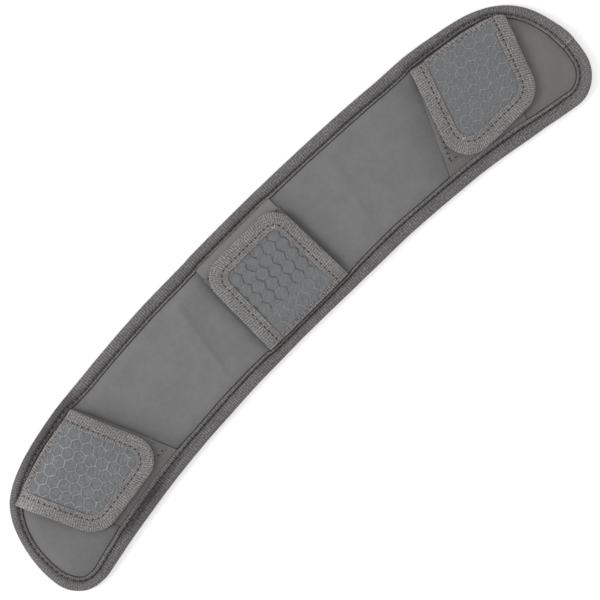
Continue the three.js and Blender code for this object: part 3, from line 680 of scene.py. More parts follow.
def shaded(add, base, tone, height, depth, roughness, sheen=0.0, warm=(1, 1, 1)):
    """Cloth of a plain colour, made lighter or darker by a tone, with a relief some millimetres deep."""
    cloth = add("VectorMath", base[:3], add("CombineColor", tone, tone, tone), operation="MULTIPLY")
    cloth = add("VectorMath", cloth, warm, operation="MULTIPLY")
    inputs = {
        "Base Color": cloth,
        "Roughness": roughness,
        "Specular IOR Level": 0.3,
        "Sheen Weight": sheen,
        "Sheen Roughness": 0.5,
        "Normal": add("bump", height, depth * MM),
    }
    add("OutputMaterial", {"Surface": add("BsdfPrincipled", inputs)})


def face_finish():
    # Smooth knitted nylon laminated to foam: matt, faintly cloudy, with a very fine grain and some lint,
    # and warmer towards the right end; the points' shade is painted shade beside the panels and past the
    # folds, and darker towards both ends
    finish, add = new_finish("smooth laminated face fabric")
    place = cloth_place(add)
    grain = add("noise", place, 0.8)
    lint = add("noise", cloth_place(add, (1.5, 0.8, 1), 30.0), 0.55)
    tone = product(
        add,
        add("range", add("noise", place, 0.05, 3.0), 0.35, 0.65, 0.955, 1.035),
        add("range", grain, 0.35, 0.65, 0.972, 1.028),
        add("range", add("noise", place, 0.22), 0.38, 0.62, 0.98, 1.02),
        add("range", lint, 0.66, 0.74, 1.0, 1.09),
        add("range", lint, 0.27, 0.34, 0.91, 1.0),
        painted(add, "shade"),
    )
    height = add("MULTIPLY_ADD", grain, 0.04, add("noise", place, 0.1))
    warm = add("VectorMath", (0.02, -0.05, -0.085), {"Scale": painted(add, "warmth")}, operation="SCALE")
    warm = add("VectorMath", (1, 1, 1), warm, operation="ADD")
    shaded(add, colour("face"), tone, height, 0.55, 0.62, 0.12, warm)
    return finish


def tape_finish(name, tone_name):
    # Polyester grosgrain: ribs across the tape, drawn at 1.65 mm, about twice as coarse as real ones,
    # because finer ribs would be lost at this size; a heathered yarn colour; painted shade and light from the
    # points, darkest in the stitched grooves
    finish, add = new_finish(name)
    pitch = in_millimetres().rib
    place = cloth_place(add)
    rib, row = (
        add("SeparateColor", add("wave", place, WAVE_SCALE / apart, *shape, bands_direction=axis))
        for apart, shape, axis in ((pitch, (0.8, 2.0, 4.0), "X"), (1.25 * pitch, (1.0, 1.0, 1.0), "Y"))
    )
    yarn = add("noise", cloth_place(add, (0.9, 1.2, 1)), 0.8, 3.0, 0.8)
    tone = product(
        add,
        add("range", rib, 0.0, 1.0, 0.74, 1.21),
        add("range", yarn, 0.38, 0.62, 0.56, 1.46),
        add("range", row, 0.0, 1.0, 0.95, 1.05),
        add("range", add("noise", place, 0.07, 3.0), 0.35, 0.65, 0.92, 1.08),
        painted(add, "shade"),
    )
    height = add("MULTIPLY_ADD", yarn, 0.6, add("MULTIPLY", rib, 0.5))
    height = add("MULTIPLY_ADD", row, 0.25, height)
    shaded(add, colour(tone_name), tone, height, 0.3, 0.85, 0.08)
    return finish


def ripstop_finish(station, name):
    # Coated ripstop: a hexagon grid woven in thicker yarn stands out of a thin cloth that has small
    # diagonal creases, with painted light and shade; the yarn is broken in places, and has a painted
    # highlight, which turns to painted shade on most of the middle flap, with painted shade beside it
    finish, add = new_finish(f"hexagon ripstop {name}")
    vector = lambda operation, *values, **more: add("VectorMath", *values, operation=operation, **more)
    pitch = in_millimetres().hexagon * station.cell
    plain = cloth_place(add)
    wobble = add("noise", plain, 0.12, 1.0, out="Color")
    wobble = vector("MULTIPLY", vector("SUBTRACT", wobble, (0.5, 0.5, 0.5)), (0.07, 0.07, 0))
    place = vector("ADD", cloth_place(add, (pitch, pitch, 1), station.hexagon_turn), wobble)
    # Hexagons are the places nearer to one point of two shifted grids than to any other
    grid = (1.0, math.sqrt(3), 1.0)
    share = vector("DIVIDE", place, grid)
    cells = []
    for offset in (0.0, 0.5):
        part = vector("FRACTION", vector("SUBTRACT", share, (offset, offset, 0)))
        part = vector("MULTIPLY", vector("SUBTRACT", part, (0.5, 0.5, 0)), grid)
        part = vector("MULTIPLY", part, (1, 1, 0))
        cells.append((part, vector("LENGTH", part, out="Value")))
    nearer = add("LESS_THAN", cells[0][1], cells[1][1])
    near = add("Mix", {"Factor": nearer, 4: cells[1][0], 5: cells[0][0]}, data_type="VECTOR", out=1)
    near = vector("ABSOLUTE", near)
    slope = vector("DOT_PRODUCT", near, (0.5, math.sqrt(3) / 2, 0), out="Value")
    level = add("SeparateXYZ", near)
    straight = add("MULTIPLY", add("range", level, *station.yarn), station.straight)
    breaks = add("range", add("noise", plain, 0.35, 3.0, 0.6), 0.36, 0.54, 0.35, 1.0)
    line = add("MULTIPLY", add("MAXIMUM", add("range", slope, *station.yarn), straight), breaks)
    # Painted shade along the inner side of each line of yarn
    beside = add("MAXIMUM", add("range", slope, 0.33, 0.42), add("range", level, 0.33, 0.42))
    beside = product(add, add("SUBTRACT", 1.0, line), beside, station.straight)
    # The creases' light and shade are painted
    creases = add("noise", cloth_place(add, (2.6, 0.8, 1), 42.0), 0.55, 3.0, 0.65)
    weave = add("noise", plain, 1.1, 2.0, 0.6)
    tone = add("MULTIPLY_ADD", add("MULTIPLY", line, painted(add, "line_tone")), 0.58, station.cloth_tone)
    tone = product(
        add,
        add("MULTIPLY_ADD", beside, -station.ring, tone),
        add("range", creases, 0.34, 0.66, 1 - 0.19 * station.crumple, 1 + 0.14 * station.crumple),
        add("range", weave, 0.32, 0.68, 0.87, 1.1),
    )
    height = add("MULTIPLY_ADD", creases, 0.8, add("MULTIPLY", line, 0.8))
    height = add("MULTIPLY_ADD", weave, 0.15, height)
    shaded(add, colour("ripstop"), tone, height, 0.45, 0.5, 0.05)
    return finish


def panel_finish():
    # Plain woven lining with a painted slanting lustre, and painted shade from the points
    finish, add = new_finish("woven lining cloth")
    slant = add("noise", cloth_place(add, (3.0, 0.7, 1), 38.0), 0.5, 3.0, 0.6)
    weave = add("noise", cloth_place(add), 1.3)
    tone = product(
        add,
        add("range", slant, 0.3, 0.7, 0.94, 1.06),
        add("range", weave, 0.2, 0.8, 0.95, 1.05),
        painted(add, "shade"),
    )
    shaded(add, colour("panel"), tone, add("MULTIPLY_ADD", weave, 0.3, slant), 0.2, 0.6, 0.1)
    return finish


def loop_finish():
    # Brushed loop tape: short soft pile
    finish, add = new_finish("brushed loop pile")
    place = cloth_place(add)
    pile = add("noise", place, 1.3, 4.0, 0.85)
    tufts = add("cells", place, 0.8, 1.0)
    tone = product(add, add("range", pile, 0.3, 0.7, 0.72, 1.25), add("range", tufts, 0.0, 0.8, 1.08, 0.9))
    shaded(add, colour("loop"), tone, add("MULTIPLY_ADD", tufts, -0.4, pile), 0.6, 0.95, 0.4)
    return finish


def hook_finish():
    # Moulded nylon hooks in rows, drawn 1.4 mm apart, coarser than real ones, which would be lost
    finish, add = new_finish("moulded hook tape")
    dots = add("cells", cloth_place(add), 1 / 1.4, 0.15)
    tone = add("range", dots, 0.1, 0.6, 1.35, 0.7)
    shaded(add, colour("hook"), tone, add("range", dots, 0.1, 0.5, 1.0, 0.0), 0.7, 0.45)
    return finish


def mesh_finish():
    # Spacer mesh: small round holes between knitted ribs, drawn 3 mm apart
    finish, add = new_finish("knitted air mesh")
    place = cloth_place(add)
    holes = add("cells", place, 1 / 3.0, 0.1)
    knit = add("noise", place, 0.9, 3.0, 0.7)
    height = add("MULTIPLY_ADD", knit, 0.25, add("range", holes, 0.12, 0.38))
    tone = product(add, add("range", holes, 0.1, 0.35, 0.45, 1.1), add("range", knit, 0.2, 0.8, 0.8, 1.2))
    shaded(add, colour("foam_back"), tone, height, 0.9, 0.9, 0.1)
    return finish


def thread_finish(name, tone_name):
    # Twisted polyester sewing thread, its turns drawn 0.5 mm apart
    finish, add = new_finish(name)
    place = add("TexCoord", out="Object")
    twist = add("SeparateColor", add("wave", place, WAVE_SCALE / (0.5 * MM), bands_direction="DIAGONAL"))
    shaded(add, colour(tone_name), add("range", twist, 0, 1, 0.85, 1.15), twist, 0.05, 0.7)
    return finish


def finish_of(slot, name="left"):
    """The finish of a slot, made once."""
    makers = {
        "face_fabric": ("smooth laminated face fabric", face_finish),
        "air_mesh": ("knitted air mesh", mesh_finish),
        "binding_tape": ("edge grosgrain", lambda: tape_finish("edge grosgrain", "binding")),
        "flap_tape": ("flap grosgrain", lambda: tape_finish("flap grosgrain", "flap_tape")),
        "ripstop": (f"hexagon ripstop {name}", lambda: ripstop_finish(STATIONS[name], name)),
        "panel_fabric": ("woven lining cloth", panel_finish),
        "loop": ("brushed loop pile", loop_finish),
        "hook": ("moulded hook tape", hook_finish),
        "thread": ("sewing thread", lambda: thread_finish("sewing thread", "thread")),
        "hem_thread": ("sunk sewing thread", lambda: thread_finish("sunk sewing thread", "hem_thread")),
        "thread_end": ("frayed thread end", lambda: thread_finish("frayed thread end", "thread_end")),
    }
    label, make = makers[slot]
    return bpy.data.materials.get(label) or make()


# Pieces


def coons(plan, inset, rows, columns, corner_turn=52.0):
    """A table of pattern points that fills the pad's plan inside an inset."""
    turn = np.degrees(plan.turn)
    corners = (corner_turn, 180 - corner_turn, 180 + corner_turn, 360 - corner_turn)
    marks = [np.abs(turn - corner).argmin() for corner in corners]
    order = np.arange(len(turn))

    def run(start, end, count):
        index = order[start:end] if end > start else np.concatenate([order[start:], order[:end]])
        line = together(*plan.at_inset(inset, index))
        travel = travelled(line)
        return sampled(np.linspace(0, travel[-1], count), travel, line)

    top = run(marks[3], marks[0] + 1, columns)
    right = run(marks[0], marks[1] + 1, rows)[::-1]
    low = run(marks[1], marks[2] + 1, columns)[::-1]
    left = run(marks[2], marks[3] + 1, rows)
    a = np.linspace(0, 1, columns)[None, :, None]
    b = np.linspace(0, 1, rows)[:, None, None]
    return (
        (1 - b) * low[None] + b * top[None] + (1 - a) * left[:, None] + a * right[:, None]
        - (1 - a) * (1 - b) * low[0] - a * (1 - b) * low[-1] - (1 - a) * b * top[0] - a * b * top[-1]
    )


def pad_layer(plan, table, height):
    """A table of pattern points in the frame, at a height."""
    return together(*plan.bend(table[..., 0], table[..., 1]), height)


def swollen(made, size, frames=20):
    """Let a cushion's free cloth swell and settle by cloth simulation, sewn down everywhere else."""
    mesh = made.data
    count = len(mesh.vertices)
    start, moved, free = np.empty(3 * count), np.empty(3 * count), np.empty(count)
    under_face, full_share = 4.0 * MM, 0.8
    mesh.vertices.foreach_get("co", start)
    mesh.attributes["free"].data.foreach_get("value", free)
    start = start.reshape(-1, 3)
    free[start[:, 2] < under_face] = 0
    held = made.vertex_groups.new(name="held")
    for index in range(count):
        held.add([index], 1 - free[index], "REPLACE")
    cloth = made.modifiers.new("swell", "CLOTH")
    cloth.point_cache.frame_start, cloth.point_cache.frame_end = 1, frames
    cloth.collision_settings.use_collision = False
    cloth.collision_settings.use_self_collision = False
    settings = cloth.settings
    settings.quality = 5
    settings.mass = 0.2
    settings.tension_stiffness = settings.compression_stiffness = 12
    settings.shear_stiffness = 4
    settings.bending_stiffness = 0.3
    settings.shrink_min = -0.012
    settings.use_pressure = True
    settings.uniform_pressure_force = 3
    settings.vertex_group_mass = "held"
    settings.effector_weights.gravity = 0
    scene = bpy.context.scene
    for frame_number in range(1, frames + 1):
        scene.frame_set(frame_number)
    graph = bpy.context.evaluated_depsgraph_get()
    made.evaluated_get(graph).data.vertices.foreach_get("co", moved)
    made.modifiers.remove(cloth)
    made.vertex_groups.remove(held)
    scene.frame_set(1)
    shift = (moved.reshape(-1, 3) - start) * free[:, None]
    far = np.linalg.norm(shift, axis=1, keepdims=True)
    # In proportion to what the simulation gives, and never past the cap
    grown = full_share * size.swell * MM / np.percentile(far[free > 0.5], 90)
    shift *= grown * np.minimum(1, size.swell * MM / np.maximum(grown * far, 1e-9))
    mesh.vertices.foreach_set("co", (start + shift).ravel())
    mesh.update()


class CUSHION_OT_pad(bpy.types.Operator):
    """Make the crowned pad and its mesh back"""

    bl_idname = "cushion.make_pad"
    bl_label = "Pad"

    def execute(self, context):
        plan = PadPlan()
        table = coons(plan, 1.7, 57, 261)
        u, w = table[..., 0], table[..., 1]
        inset, _ = plan.nearest(u, w)
        waves = 0.10 * np.sin(u / 17.0 + 0.4) * np.cos(w / 13.0) + 0.07 * np.sin(u / 7.3 + w / 9.0)
        # Painted shade darkens the cloth beside the panels and past the folds, and the cloth is darker towards
        # both ends
        outside, _, shade = beside_panels(plan, u, w)
        shade = shade * (1 - 0.13 * smooth((-u - 185) / 20)) * (1 - 0.12 * smooth((u - 185) / 20))
        for at, height in FACE_FOLDS:
            away = u - at - FOLD_LEAN * w
            height = height * smooth((30 - np.abs(w - 2)) / 10)
            waves = waves + height * np.exp(-np.abs(away) / np.where(away > 0, FOLD_FALL, FOLD_RISE))
            shade = shade * (1 - FOLD_LOSS * height * (away > 0) * np.exp(-np.abs(away) / FOLD_SHADE_REACH))
        top = dented(plan, u, w, inset) + waves * smooth((inset - 9) / 9) - 0.05
        seam = 2.2 + 0.35 * smooth((14 - inset) / 12)
        free = smooth((inset - 10) / 5) * smooth((outside - 0.5) / 5)
        paints = {"shade": shade, "warmth": smooth((u - 180) / 25), "free": free}
        pad = finished(
            layered(pad_layer(plan, table, seam), pad_layer(plan, table, top), table, paints),
            "pad_cushion", "face_fabric", ("face_cover", "foam_core"), "pad",
        )
        swollen(pad, plan.size)

        table = coons(plan, 2.2, 45, 201)
        inset, _ = plan.nearest(table[..., 0], table[..., 1])
        low = pad_layer(plan, table, 1.2 * (1 - smooth((inset - 7.5) / 8)))
        high = pad_layer(plan, table, 2.1 + 0.35 * smooth((14 - inset) / 12))
        cloth(
            low, high, table, "air_mesh_back", "air_mesh", ("back_mesh",), "pad",
            held="stretched", rests_on="pad_cushion",
        )
        return {"FINISHED"}


class CUSHION_OT_binding(bpy.types.Operator):
    """Fold the grosgrain tape round the pad's edge"""

    bl_idname = "cushion.make_binding"
    bl_label = "Edge binding"

    def execute(self, context):
        plan = PadPlan()
        size = plan.size
        half, thick = size.bead_height / 2, size.tape_thickness
        along = plan.along
        shift, groove, lip = plan.shift, plan.groove, plan.lip
        puff = 0.12 * np.sin(along / 21.0) + 0.1 * np.sin(along / 8.7 + 1.0)
        lap = 0.42 * smooth((along - TAPE_LAP[0]) / 2) * (along < TAPE_LAP[1])
        pucker = 0.10 * np.cos(2 * math.pi * along / size.stitch_pitch)
        reach = size.bead_inset * (1 - 0.22 * plan.press)
        bead = shift + reach

        def point(inset, z, shade=1.0):
            return [value + 0 * along for value in (inset, z, shade)]

        # Front, from the gap beside the lip over the bead to the outer fold; the third values are painted shade,
        # dark in the gap, in the stitched groove and on the bead's inner slope, with a painted highlight on the
        # lip's crest
        lip_z, groove_z = plan.face(lip) + thick + 0.12, plan.face(groove) + 0.62
        crest = lip * 0.6 + groove * 0.4
        slope, start = 0.1 + 0.31 * plan.press, 0.12 + 0.25 * np.maximum(plan.press - 1, 0)
        # The wall of the groove that faces away from the key light is dark of itself, so the groove's painted
        # shade lies more on the wall that faces the light
        facing = np.cos(plan.turn)
        # Painted shade in the gap beside the lip, deeper where a panel or a flap's root runs in under the
        # binding
        gap = (1 - 0.35 * plan.dark) * (1 - 0.7 * under_lip(plan))
        rows = [
            point(lip + 0.62, plan.face(lip + 0.62) - 0.05, 0.45 * gap),
            point(lip + 0.55, plan.face(lip + 0.55) + 0.07, 0.5 * gap),
            point(lip + 0.12, plan.face(lip) + 0.1, 0.32 * gap),
            point(lip, lip_z - 0.12, 0.5 * gap),
            point(lip - 0.25, lip_z + 0.1, 0.85 + 0.27 * plan.dark),
            point(crest, plan.face(crest) + 1.05, 0.85 + 0.37 * plan.dark),
            point(groove + 0.5, groove_z + 0.22, 1 - (0.4 + 0.28 * facing) * plan.dark),
            point(groove + 0.18, groove_z + 0.02, 1 - (0.68 + 0.06 * facing) * plan.dark),
            point(groove - 0.25, groove_z + pucker * 0.5, 1 - (0.68 - 0.06 * facing) * plan.dark),
            point(groove - 0.7, groove_z + 0.3 + pucker, 1 - (0.4 - 0.28 * facing) * plan.dark),
        ]
        top = size.bead_height + 0.5 * puff
        # The bead's inner slope has painted shade, more where the binding is pressed
        for share in (0.84, 0.66, 0.46, 0.24, 0.0):
            inset = bead + (groove - 0.7 - bead) * share
            z = groove_z + 0.3 + (top - groove_z - 0.3) * np.sqrt(np.maximum(1 - share**2.2, 0))
            rows.append(point(inset, z, 1 - slope * smooth(share + start)))
        for angle in np.radians([76, 62, 48, 34, 20, 8, 0]):
            rows.append(point(bead - reach * math.cos(angle), half + (top - half) * math.sin(angle)))
        # Back, from the outer fold to the lip
        for angle in np.radians([-20, -40, -60, -80]):
            rows.append(point(bead - reach * math.cos(angle), half + half * math.sin(angle)))
        edge = size.crown_start
        # The back's stitched groove has painted shade
        rows += [
            point(bead + 0.8, 0.0), point(6.6, 0.35), point(7.6, 0.62, 0.6), point(8.2, 0.58),
            point(edge, 0.75), point(edge, 1.15, 0.8),
        ]
        # Inside of the fold
        rows += [
            point(6.0, 1.2), point(shift + 2.0, 1.3), point(shift + thick + 0.1, half),
            point(shift + 2.0, size.bead_height - 1.9), point(shift + 5.0, plan.face(shift + 5.0) + 0.04),
        ]
        inset, z, shade = np.array(rows).transpose(1, 0, 2)
        # The upper end of the tape lies on the lower one
        z = z + lap * (z > half) * np.where(inset < groove + 2.5, 1, 0.6)
        inset = inset - np.where(inset < shift + 1.5, lap * 0.6, 0)
        step = along[1] - along[0]
        nick = np.clip(1 - np.abs(along - TAPE_LAP[1] - 0.3) / (1.1 * step), 0, 1)
        rim = np.clip(1 - np.abs(along - TAPE_LAP[1] + 1.3) / 1.4, 0, 1)
        # Painted shade in the nick at the lap's step and a painted highlight on the rim of the upper end, with
        # the tape's painted light and shade along the edge
        shade = shade * plan.light * (1 - 0.55 * nick) * (1 + 0.4 * rim)
        u, w = plan.at_inset(inset)
        points = together(*plan.bend(u, w), z)
        finished(
            swept(points, tube_pattern(points, along), ring=True, paints={"shade": shade}),
            "edge_tape", "binding_tape", ("edge_binding",), "pad",
        )
        return {"FINISHED"}


def sewn(name, rows, nodes, body=None, blend=None, finish="thread", pull=1.0, up=1.0):
    """A piece of short stitches, each a small rounded bar laid along one of its seams; dark bars stand for the
    thread with the painted shade of its needle holes.
    """
    size = in_millimetres()
    form = bmesh.new()
    bar = (size.stitch_width / 2.6 * MM, size.stitch_width / 2 * MM, size.stitch_length / 2 * pull * MM, 1)
    laid = Matrix.Rotation(math.pi / 2, 4, "Y") @ Matrix.Diagonal(bar)
    for place, tangent in zip(*(np.vstack(part) for part in zip(*rows))):
        x = Vector(tangent).normalized()
        z = (Vector((0, 0, up)) - up * x.z * x).normalized()
        turn = Matrix((x, z.cross(x), z)).transposed().to_4x4()
        bmesh.ops.create_uvsphere(
            form, u_segments=6, v_segments=5, radius=1,
            matrix=Matrix.Translation(Vector(place) * MM) @ turn @ laid,
        )
    return finished(form, name, "thread", nodes, body, blend, finish_of(finish))


def sides_of(ends, sides):
    """The four sides of a patch, from the tables of its ends and of its sides."""
    return ends[0], ends[1], sides[:, 0], sides[:, 1]


def along_line(points, pitch, start=0.0, closed=False):
    """Evenly spaced places and directions on a line of points."""
    if closed:
        points = np.vstack([points, points[:1]])
    travel = travelled(points)
    count = max(int((travel[-1] - 2 * start) / pitch), 1)
    at = start + (np.arange(count) + 0.5) * (travel[-1] - 2 * start) / count
    ahead, behind = (sampled(at + away, travel, points) for away in (0.3, -0.3))
    return sampled(at, travel, points), ahead - behind


class CUSHION_OT_edge_stitches(bpy.types.Operator):
    """Sew the row of stitches beside the binding's lip, on both faces"""

    bl_idname = "cushion.make_edge_stitches"
    bl_label = "Edge stitches"

    def execute(self, context):
        plan = PadPlan()
        size = plan.size
        rows = {
            "front": (plan.groove, plan.face(plan.groove) + 0.76, 1),
            "back": (7.6 + 0 * plan.groove, 0.6 + 0 * plan.groove, -1),
        }
        for side, (inset, z, up) in rows.items():
            points = together(*plan.bend(*plan.at_inset(inset)), z)
            row = along_line(points, size.stitch_pitch, closed=True)
            sewn(f"edge_stitches_{side}", [row], (f"edge_thread_{side}",), "pad", up=up)
        return {"FINISHED"}


def panel_table(plan, station, rows, across, first, last, keep=4.2):
    """Pattern points of the cloth under a flap, between two shares of the pad's width from its root."""
    half = plan.size.pad_width / 2 * station.side
    root, landing = (
        start + (end - start) * across for start, end in (station.panel_root, station.panel_landing)
    )
    line = lambda share: np.broadcast_arrays(root + (landing - root) * share, half - 2 * half * share)
    # Where the pad's edge is rounded, the cloth stops under the binding
    tries = np.linspace(0, 1, 181)[:, None]
    inset, _ = plan.nearest(*line(tries))
    begins = np.where(inset >= keep, tries, 1).min(axis=0)
    ends = np.where(inset >= keep, tries, 0).max(axis=0)
    begins, ends = np.maximum(first, begins), np.minimum(last, ends)
    return together(*line(between(begins, ends, rows)))


class CUSHION_OT_panels(bpy.types.Operator):
    """Lay the cloth panel and the loop patch under each flap"""

    bl_idname = "cushion.make_panels"
    bl_label = "Panels and loop patches"

    def execute(self, context):
        for flap in flaps():
            name, station, plan, size = flap.name, flap.station, flap.plan, flap.size
            # The outermost columns are painted shade in the gap beside the panel's folded sides, and the fold's
            # edge has a painted highlight
            near = np.array([-0.011, -0.009, 0.0, 0.004])
            across = np.concatenate([near, np.linspace(0.02, 0.98, 41), 1 - near[::-1]])
            side = np.minimum(across, 1 - across)
            table = panel_table(plan, station, 61, across, 0.045, 0.955)
            u, w = table[..., 0], table[..., 1]
            inset, index = plan.nearest(u, w)
            lip = plan.lip[index]
            face = dented(plan, u, w, inset)
            rise = smooth((inset - lip + 1.0) / 2.0)
            ripple = 0.10 * np.sin(u / 6.0) * np.sin(w / 8.0)
            body = np.interp(side, [-0.009, 0.0, 0.004, 0.02], [0.0, 0.75, 1.3, 1.0]) + 0 * u
            shade = np.interp(side, [-0.009, 0.0, 0.004, 0.03], [0.42, 0.6, 1.12, 1.0]) + 0 * u
            # Beyond the flap's root seam the cloth lies in the fold beside the binding, and painted shade
            # darkens it
            place = flap.local(together(*plan.bend(u, w)))
            shade = shade * (1 - 0.88 * smooth(flap.root_line(place[..., 0]) - place[..., 1] + 1))
            # Painted shadow of the flap on the panel beyond its free edge
            landing = smooth((place[..., 1] - flap.free[:, 1].min() + 4) / 4)
            shade = shade * (1 - (1 - station.landing_shadow) * landing)
            low = pad_layer(plan, table, face + 0.02)
            thick = (size.panel_thickness * body + ripple * (body > 0.9)) * rise
            cloth(
                low, pad_layer(plan, table, face + 0.10 + thick), table,
                f"panel_cloth_{name}", "panel_fabric", (f"base_panel_{name}",), "pad",
                held="stretched", rests_on="pad_cushion", paints={"shade": shade},
            )

            width = size.pad_width
            first, last = size.loop_root_inset / width, 1 - size.loop_edge_inset / width
            table = panel_table(plan, station, 31, np.linspace(*station.loop_across, 31), first, last)
            u, w = table[..., 0], table[..., 1]
            inset, _ = plan.nearest(u, w)
            face = dented(plan, u, w, inset) + 0.10 + size.panel_thickness
            rank = np.minimum(np.arange(31), np.arange(31)[::-1])
            round_off = smooth(np.minimum(rank[:, None] * 1.67, rank * 2.0) / 1.6)
            low = pad_layer(plan, table, face - 0.05)
            high = pad_layer(plan, table, face + 0.3 + (size.loop_thickness - 0.1) * round_off)
            cloth(
                low, high, table, f"loop_pile_{name}", "loop", (f"loop_patch_{name}",), "pad",
                rests_on=f"panel_cloth_{name}",
            )

            lift = face.max() + 0.3 + 0.55 * size.loop_thickness
            step = 1.4 / width
            near, far = station.loop_across
            seam = (first + step, last - step)
            ends = panel_table(plan, station, 2, np.linspace(near + 0.02, far - 0.02, 24), *seam)
            sides = panel_table(plan, station, 24, np.array(station.seam_across), *seam)
            rows = [
                along_line(pad_layer(plan, line, lift), size.flap_stitch_pitch) for line in sides_of(ends, sides)
            ]
            sewn(f"loop_stitches_{name}", rows, (f"loop_thread_{name}",), "pad", pull=0.85)
        return {"FINISHED"}


class CUSHION_OT_flap_cloth(bpy.types.Operator):
    """Lay the ripstop, the lining and the hook patch of each flap"""

    bl_idname = "cushion.make_flap_cloth"
    bl_label = "Flap cloth"

    def execute(self, context):
        for flap in flaps():
            name = flap.name
            table = flap.window(57, 49, 9.4, root_gap=0.25)
            x, y = table[..., 0], table[..., 1]
            rim = flap.rim(x, y)
            puff = 0.35 * smooth((rim - 10) / 14) * smooth((y + 1) / 14)
            crease = 0.14 * np.sin(x / 7.0 + y / 5.5) * np.sin(y / 12 + 0.8) * smooth((rim - 11) / 6)
            pattern = flap.pattern(table)
            near, far = flap.station.light_lines
            # The yarn's painted light changes from the root to the free edge
            cloth(
                flap.surface(table, 0.46), flap.surface(table, 0.72, puff + crease), pattern,
                f"flap_ripstop_{name}", "ripstop", (f"flap_shell_{name}",), rests_on=f"loop_pile_{name}",
                blend=flap.hinge_blend(), finish=finish_of("ripstop", name),
                paints={"line_tone": near + (far - near) * smooth((y - 8) / 8)},
            )
            # On the ripstop's grid
            cloth(
                flap.surface(table, 0.26), flap.surface(table, 0.42), pattern,
                f"flap_lining_cloth_{name}", "panel_fabric", (f"flap_lining_{name}",),
                rests_on=f"loop_pile_{name}", blend=flap.hinge_blend(),
            )
            table = flap.window(17, 25, flap.size.flap_tape + 0.3, far=flap.size.hook_length)
            cloth(
                flap.surface(table, 0.02), flap.surface(table, 0.25), flap.pattern(table),
                f"hook_tape_{name}", "hook", (f"hook_patch_{name}",), f"flap_{name}",
                rests_on=f"flap_lining_cloth_{name}",
            )
        return {"FINISHED"}


class CUSHION_OT_flap_tape(bpy.types.Operator):
    """Fold the grosgrain tape round the three free sides of each flap, and lay the root hem"""

    bl_idname = "cushion.make_flap_tape"
    bl_label = "Flap tape"

    def execute(self, context):
        size = in_millimetres()
        wide, stitch = size.flap_tape, size.flap_stitch_inset
        inner = [wide, wide - 0.25, wide - 1.2]
        seam = [stitch + away for away in (1.8, 1.0, 0.45, 0, -0.45, -1.0, -2.0)]
        top_insets = [*inner, *seam, 4.6, 3.2, 2.1, 1.3, 0.7, 0.3, 0.06]
        for flap in flaps():
            name, rows, shades = flap.name, [], []
            travel = travelled(flap.contour(0.0))
            pucker = 0.07 * np.cos(2 * math.pi * travel / size.flap_stitch_pitch)

            shine = np.ones_like(travel)
            for end, reach in zip((travel, travel[-1] - travel), flap.station.shine):
                shine += 0.3 * smooth(1 - end / max(reach, 1)) * (reach > 0)

            def row(inset, level, lift=0.0, shade=1.0):
                points = flap.contour(inset)
                rows.append(flap.surface(points, level, lift))
                shades.append(shade * shine)

            def rounded(inset):
                share = np.clip(inset / 1.4, 0, 1)
                return 0.5 * math.sqrt(max(1 - (1 - share) ** 2, 0))

            # Painted shade at the tape's inner edge and in its stitched valley
            row(wide, 0.74, 0.0, 0.6)
            for inset in top_insets:
                dip = math.exp(-(((inset - stitch) / 0.55) ** 2))
                swell = 0.16 * math.sin(math.pi * min(inset / stitch, 1)) if inset < stitch else 0.05
                edge = 0.06 if inset == wide else 0.0
                shade = 1 - 0.14 * dip - (0.25 if inset == wide else 0)
                row(inset, 0.5 + rounded(inset), swell - 0.3 * dip - edge + pucker * dip, shade)
            row(0.0, 0.5)
            for inset in (0.06, 0.3, 0.7, 1.4, 3.0, stitch, wide):
                row(inset, 0.5 - rounded(inset))
            row(wide, 0.24)
            row(1.0, 0.26)
            row(0.7, 0.5)
            row(1.0, 0.73)
            points = np.array(rows)
            finished(
                swept(points, tube_pattern(points, travel), paints={"shade": np.array(shades)}),
                f"flap_tape_{name}", "flap_tape", (f"flap_binding_{name}",), blend=flap.hinge_blend(),
            )

            # Root hem between the two tapes
            sides = flap.window(2, 41, wide + 0.2)[0]
            share = np.linspace(0, 1, 9)[:, None]
            hem_x = sides[:, 0] + 0 * share
            hem_y = flap.root_line(hem_x) - 0.3 + 3.5 * share
            table = together(hem_x, hem_y)
            round_top = np.sqrt(np.clip(1 - (2 * share - 1) ** 4, 0, 1)) + 0 * hem_x
            low, high = flap.surface(table, 0.70), flap.surface(table, 0.78, 0.42 * round_top)
            finished(
                layered(low, high, flap.pattern(table), {"shade": flap.station.hem_tone + 0 * hem_x}),
                f"root_hem_tape_{name}", "flap_tape", (f"root_hem_{name}",), "pad",
            )
        return {"FINISHED"}


